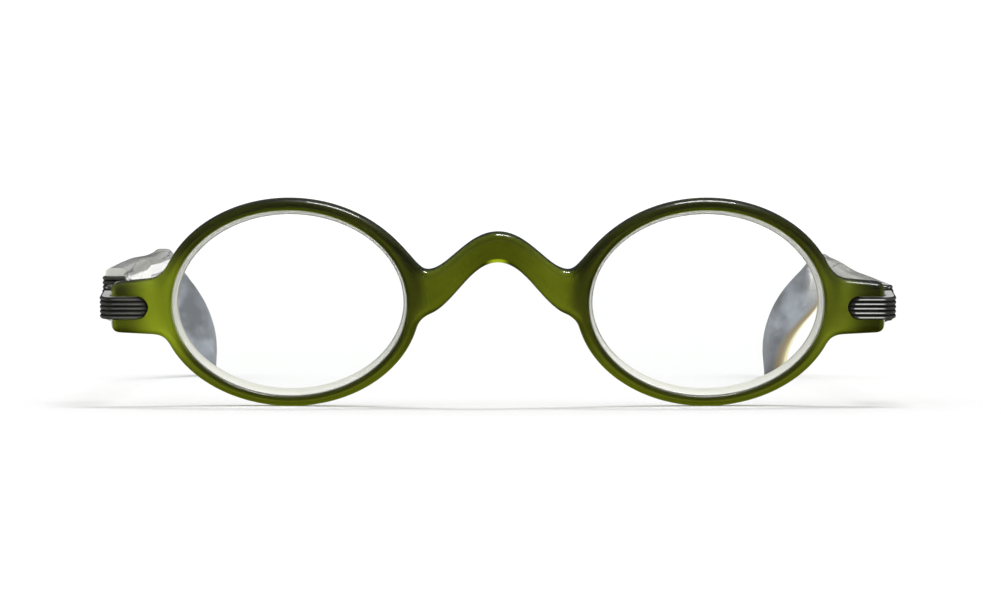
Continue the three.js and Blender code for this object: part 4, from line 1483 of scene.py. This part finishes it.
for name, colour, depth, at, tip in (
    ("standing_black_card", CARD_BLACK, 1.2, (0, -0.95, 0.62), pi / 2),
    ("lying_olive_card", CARD_OLIVE, 0.91, (0, -0.49, 0.0001), 0.0),
):
    card = flat_sheet(name, CARD_WIDTH, depth)
    card.location = at
    card.rotation_euler.x = tip
    card.data.materials.append(card_paint(f"{name}_paint", colour))
    card.visible_camera = False
    card.visible_diffuse = False
    card.visible_transmission = False
    card.visible_shadow = False
    print(name, CARD_WIDTH, "by", depth, "m")

# %% The softbox and the sky
HORIZON = (0.20, 0.45)
HORIZON_WHITE = (1.15, 1.15, 1.15)
SKY_DARK = (0.06, 0.065, 0.08)
SKY_IN_GLOSS = (0.035, 0.04, 0.05, 1)
SKY_ON_MATT = (SKY_LIGHT, SKY_LIGHT, SKY_LIGHT, 1)

lamp = bpy.data.lights.new("softbox", "AREA")
lamp.shape = "RECTANGLE"
lamp.size, lamp.size_y = SOFTBOX_SIZE
lamp.energy = SOFTBOX_RADIANCE * pi * lamp.size * lamp.size_y
softbox = bpy.data.objects.new("softbox", lamp)
softbox.location = SOFTBOX_AT
softbox.visible_camera = False
bpy.context.scene.collection.objects.link(softbox)

world = bpy.data.worlds.new("studio")
world.use_nodes = True
world.node_tree.nodes.clear()
w = Wire(world.node_tree)
ray = w.node("ShaderNodeTexCoord", output="Generated")
height = w.node("ShaderNodeSeparateXYZ", inputs={0: ray}, output="Z")
shown = (1 - height.step(*HORIZON)).tint(SKY_DARK, HORIZON_WHITE)
gloss = w.node("ShaderNodeLightPath", output="Is Glossy Ray")
through = w.node("ShaderNodeLightPath", output="Is Transmission Ray")
soft = w.math("GREATER_THAN", w.node("ShaderNodeLightPath", output="Diffuse Depth"), 0.5)
for seen, colour in ((soft, SKY_ON_MATT), (gloss * (1 - through), SKY_IN_GLOSS)):
    shown = w.node("ShaderNodeMix", {"data_type": "RGBA"}, {0: seen, 6: shown, 7: colour}, output=2)
back = w.node("ShaderNodeBackground", inputs={"Color": shown})
sky_out = world.node_tree.nodes.new("ShaderNodeOutputWorld")
world.node_tree.links.new(back.socket, sky_out.inputs["Surface"])
bpy.context.scene.world = world
bpy.context.scene.view_settings.view_transform = "Standard"
print("softbox energy", round(lamp.energy, 2), "W")

# %% [markdown]
# ## The camera
# The photograph was taken from straight in front, a little above the bridge, from an arm's length. The focal
# length in pixels, the horizon's row and the column of the middle of the front set the lens and the aim.

# %% Camera
PHOTO_WIDTH = 1001
PHOTO_HEIGHT = 600
FOCAL_PIXELS = 3690.0
HORIZON_ROW = 236.0
MIDDLE_COLUMN = 498.0
CAMERA_AWAY = 600.0
CAMERA_HEIGHT = 28.0

camera_data = bpy.data.cameras.new("camera")
camera_data.sensor_width = 36.0
camera_data.lens = camera_data.sensor_width * FOCAL_PIXELS / PHOTO_WIDTH
camera = bpy.data.objects.new("camera", camera_data)
down = atan2(PHOTO_HEIGHT / 2 - HORIZON_ROW, FOCAL_PIXELS)
aside = atan2(PHOTO_WIDTH / 2 - MIDDLE_COLUMN, FOCAL_PIXELS)
camera.location = (FRONT_AT[0] * MM, cad_box[0][1] - CAMERA_AWAY * MM, CAMERA_HEIGHT * MM)
camera.rotation_euler = (pi / 2 - down, 0, -aside)
bpy.context.scene.collection.objects.link(camera)
bpy.context.scene.camera = camera
print(f"camera {camera_data.lens:.1f} mm, looking down {down / pi * 180:.2f} degrees")
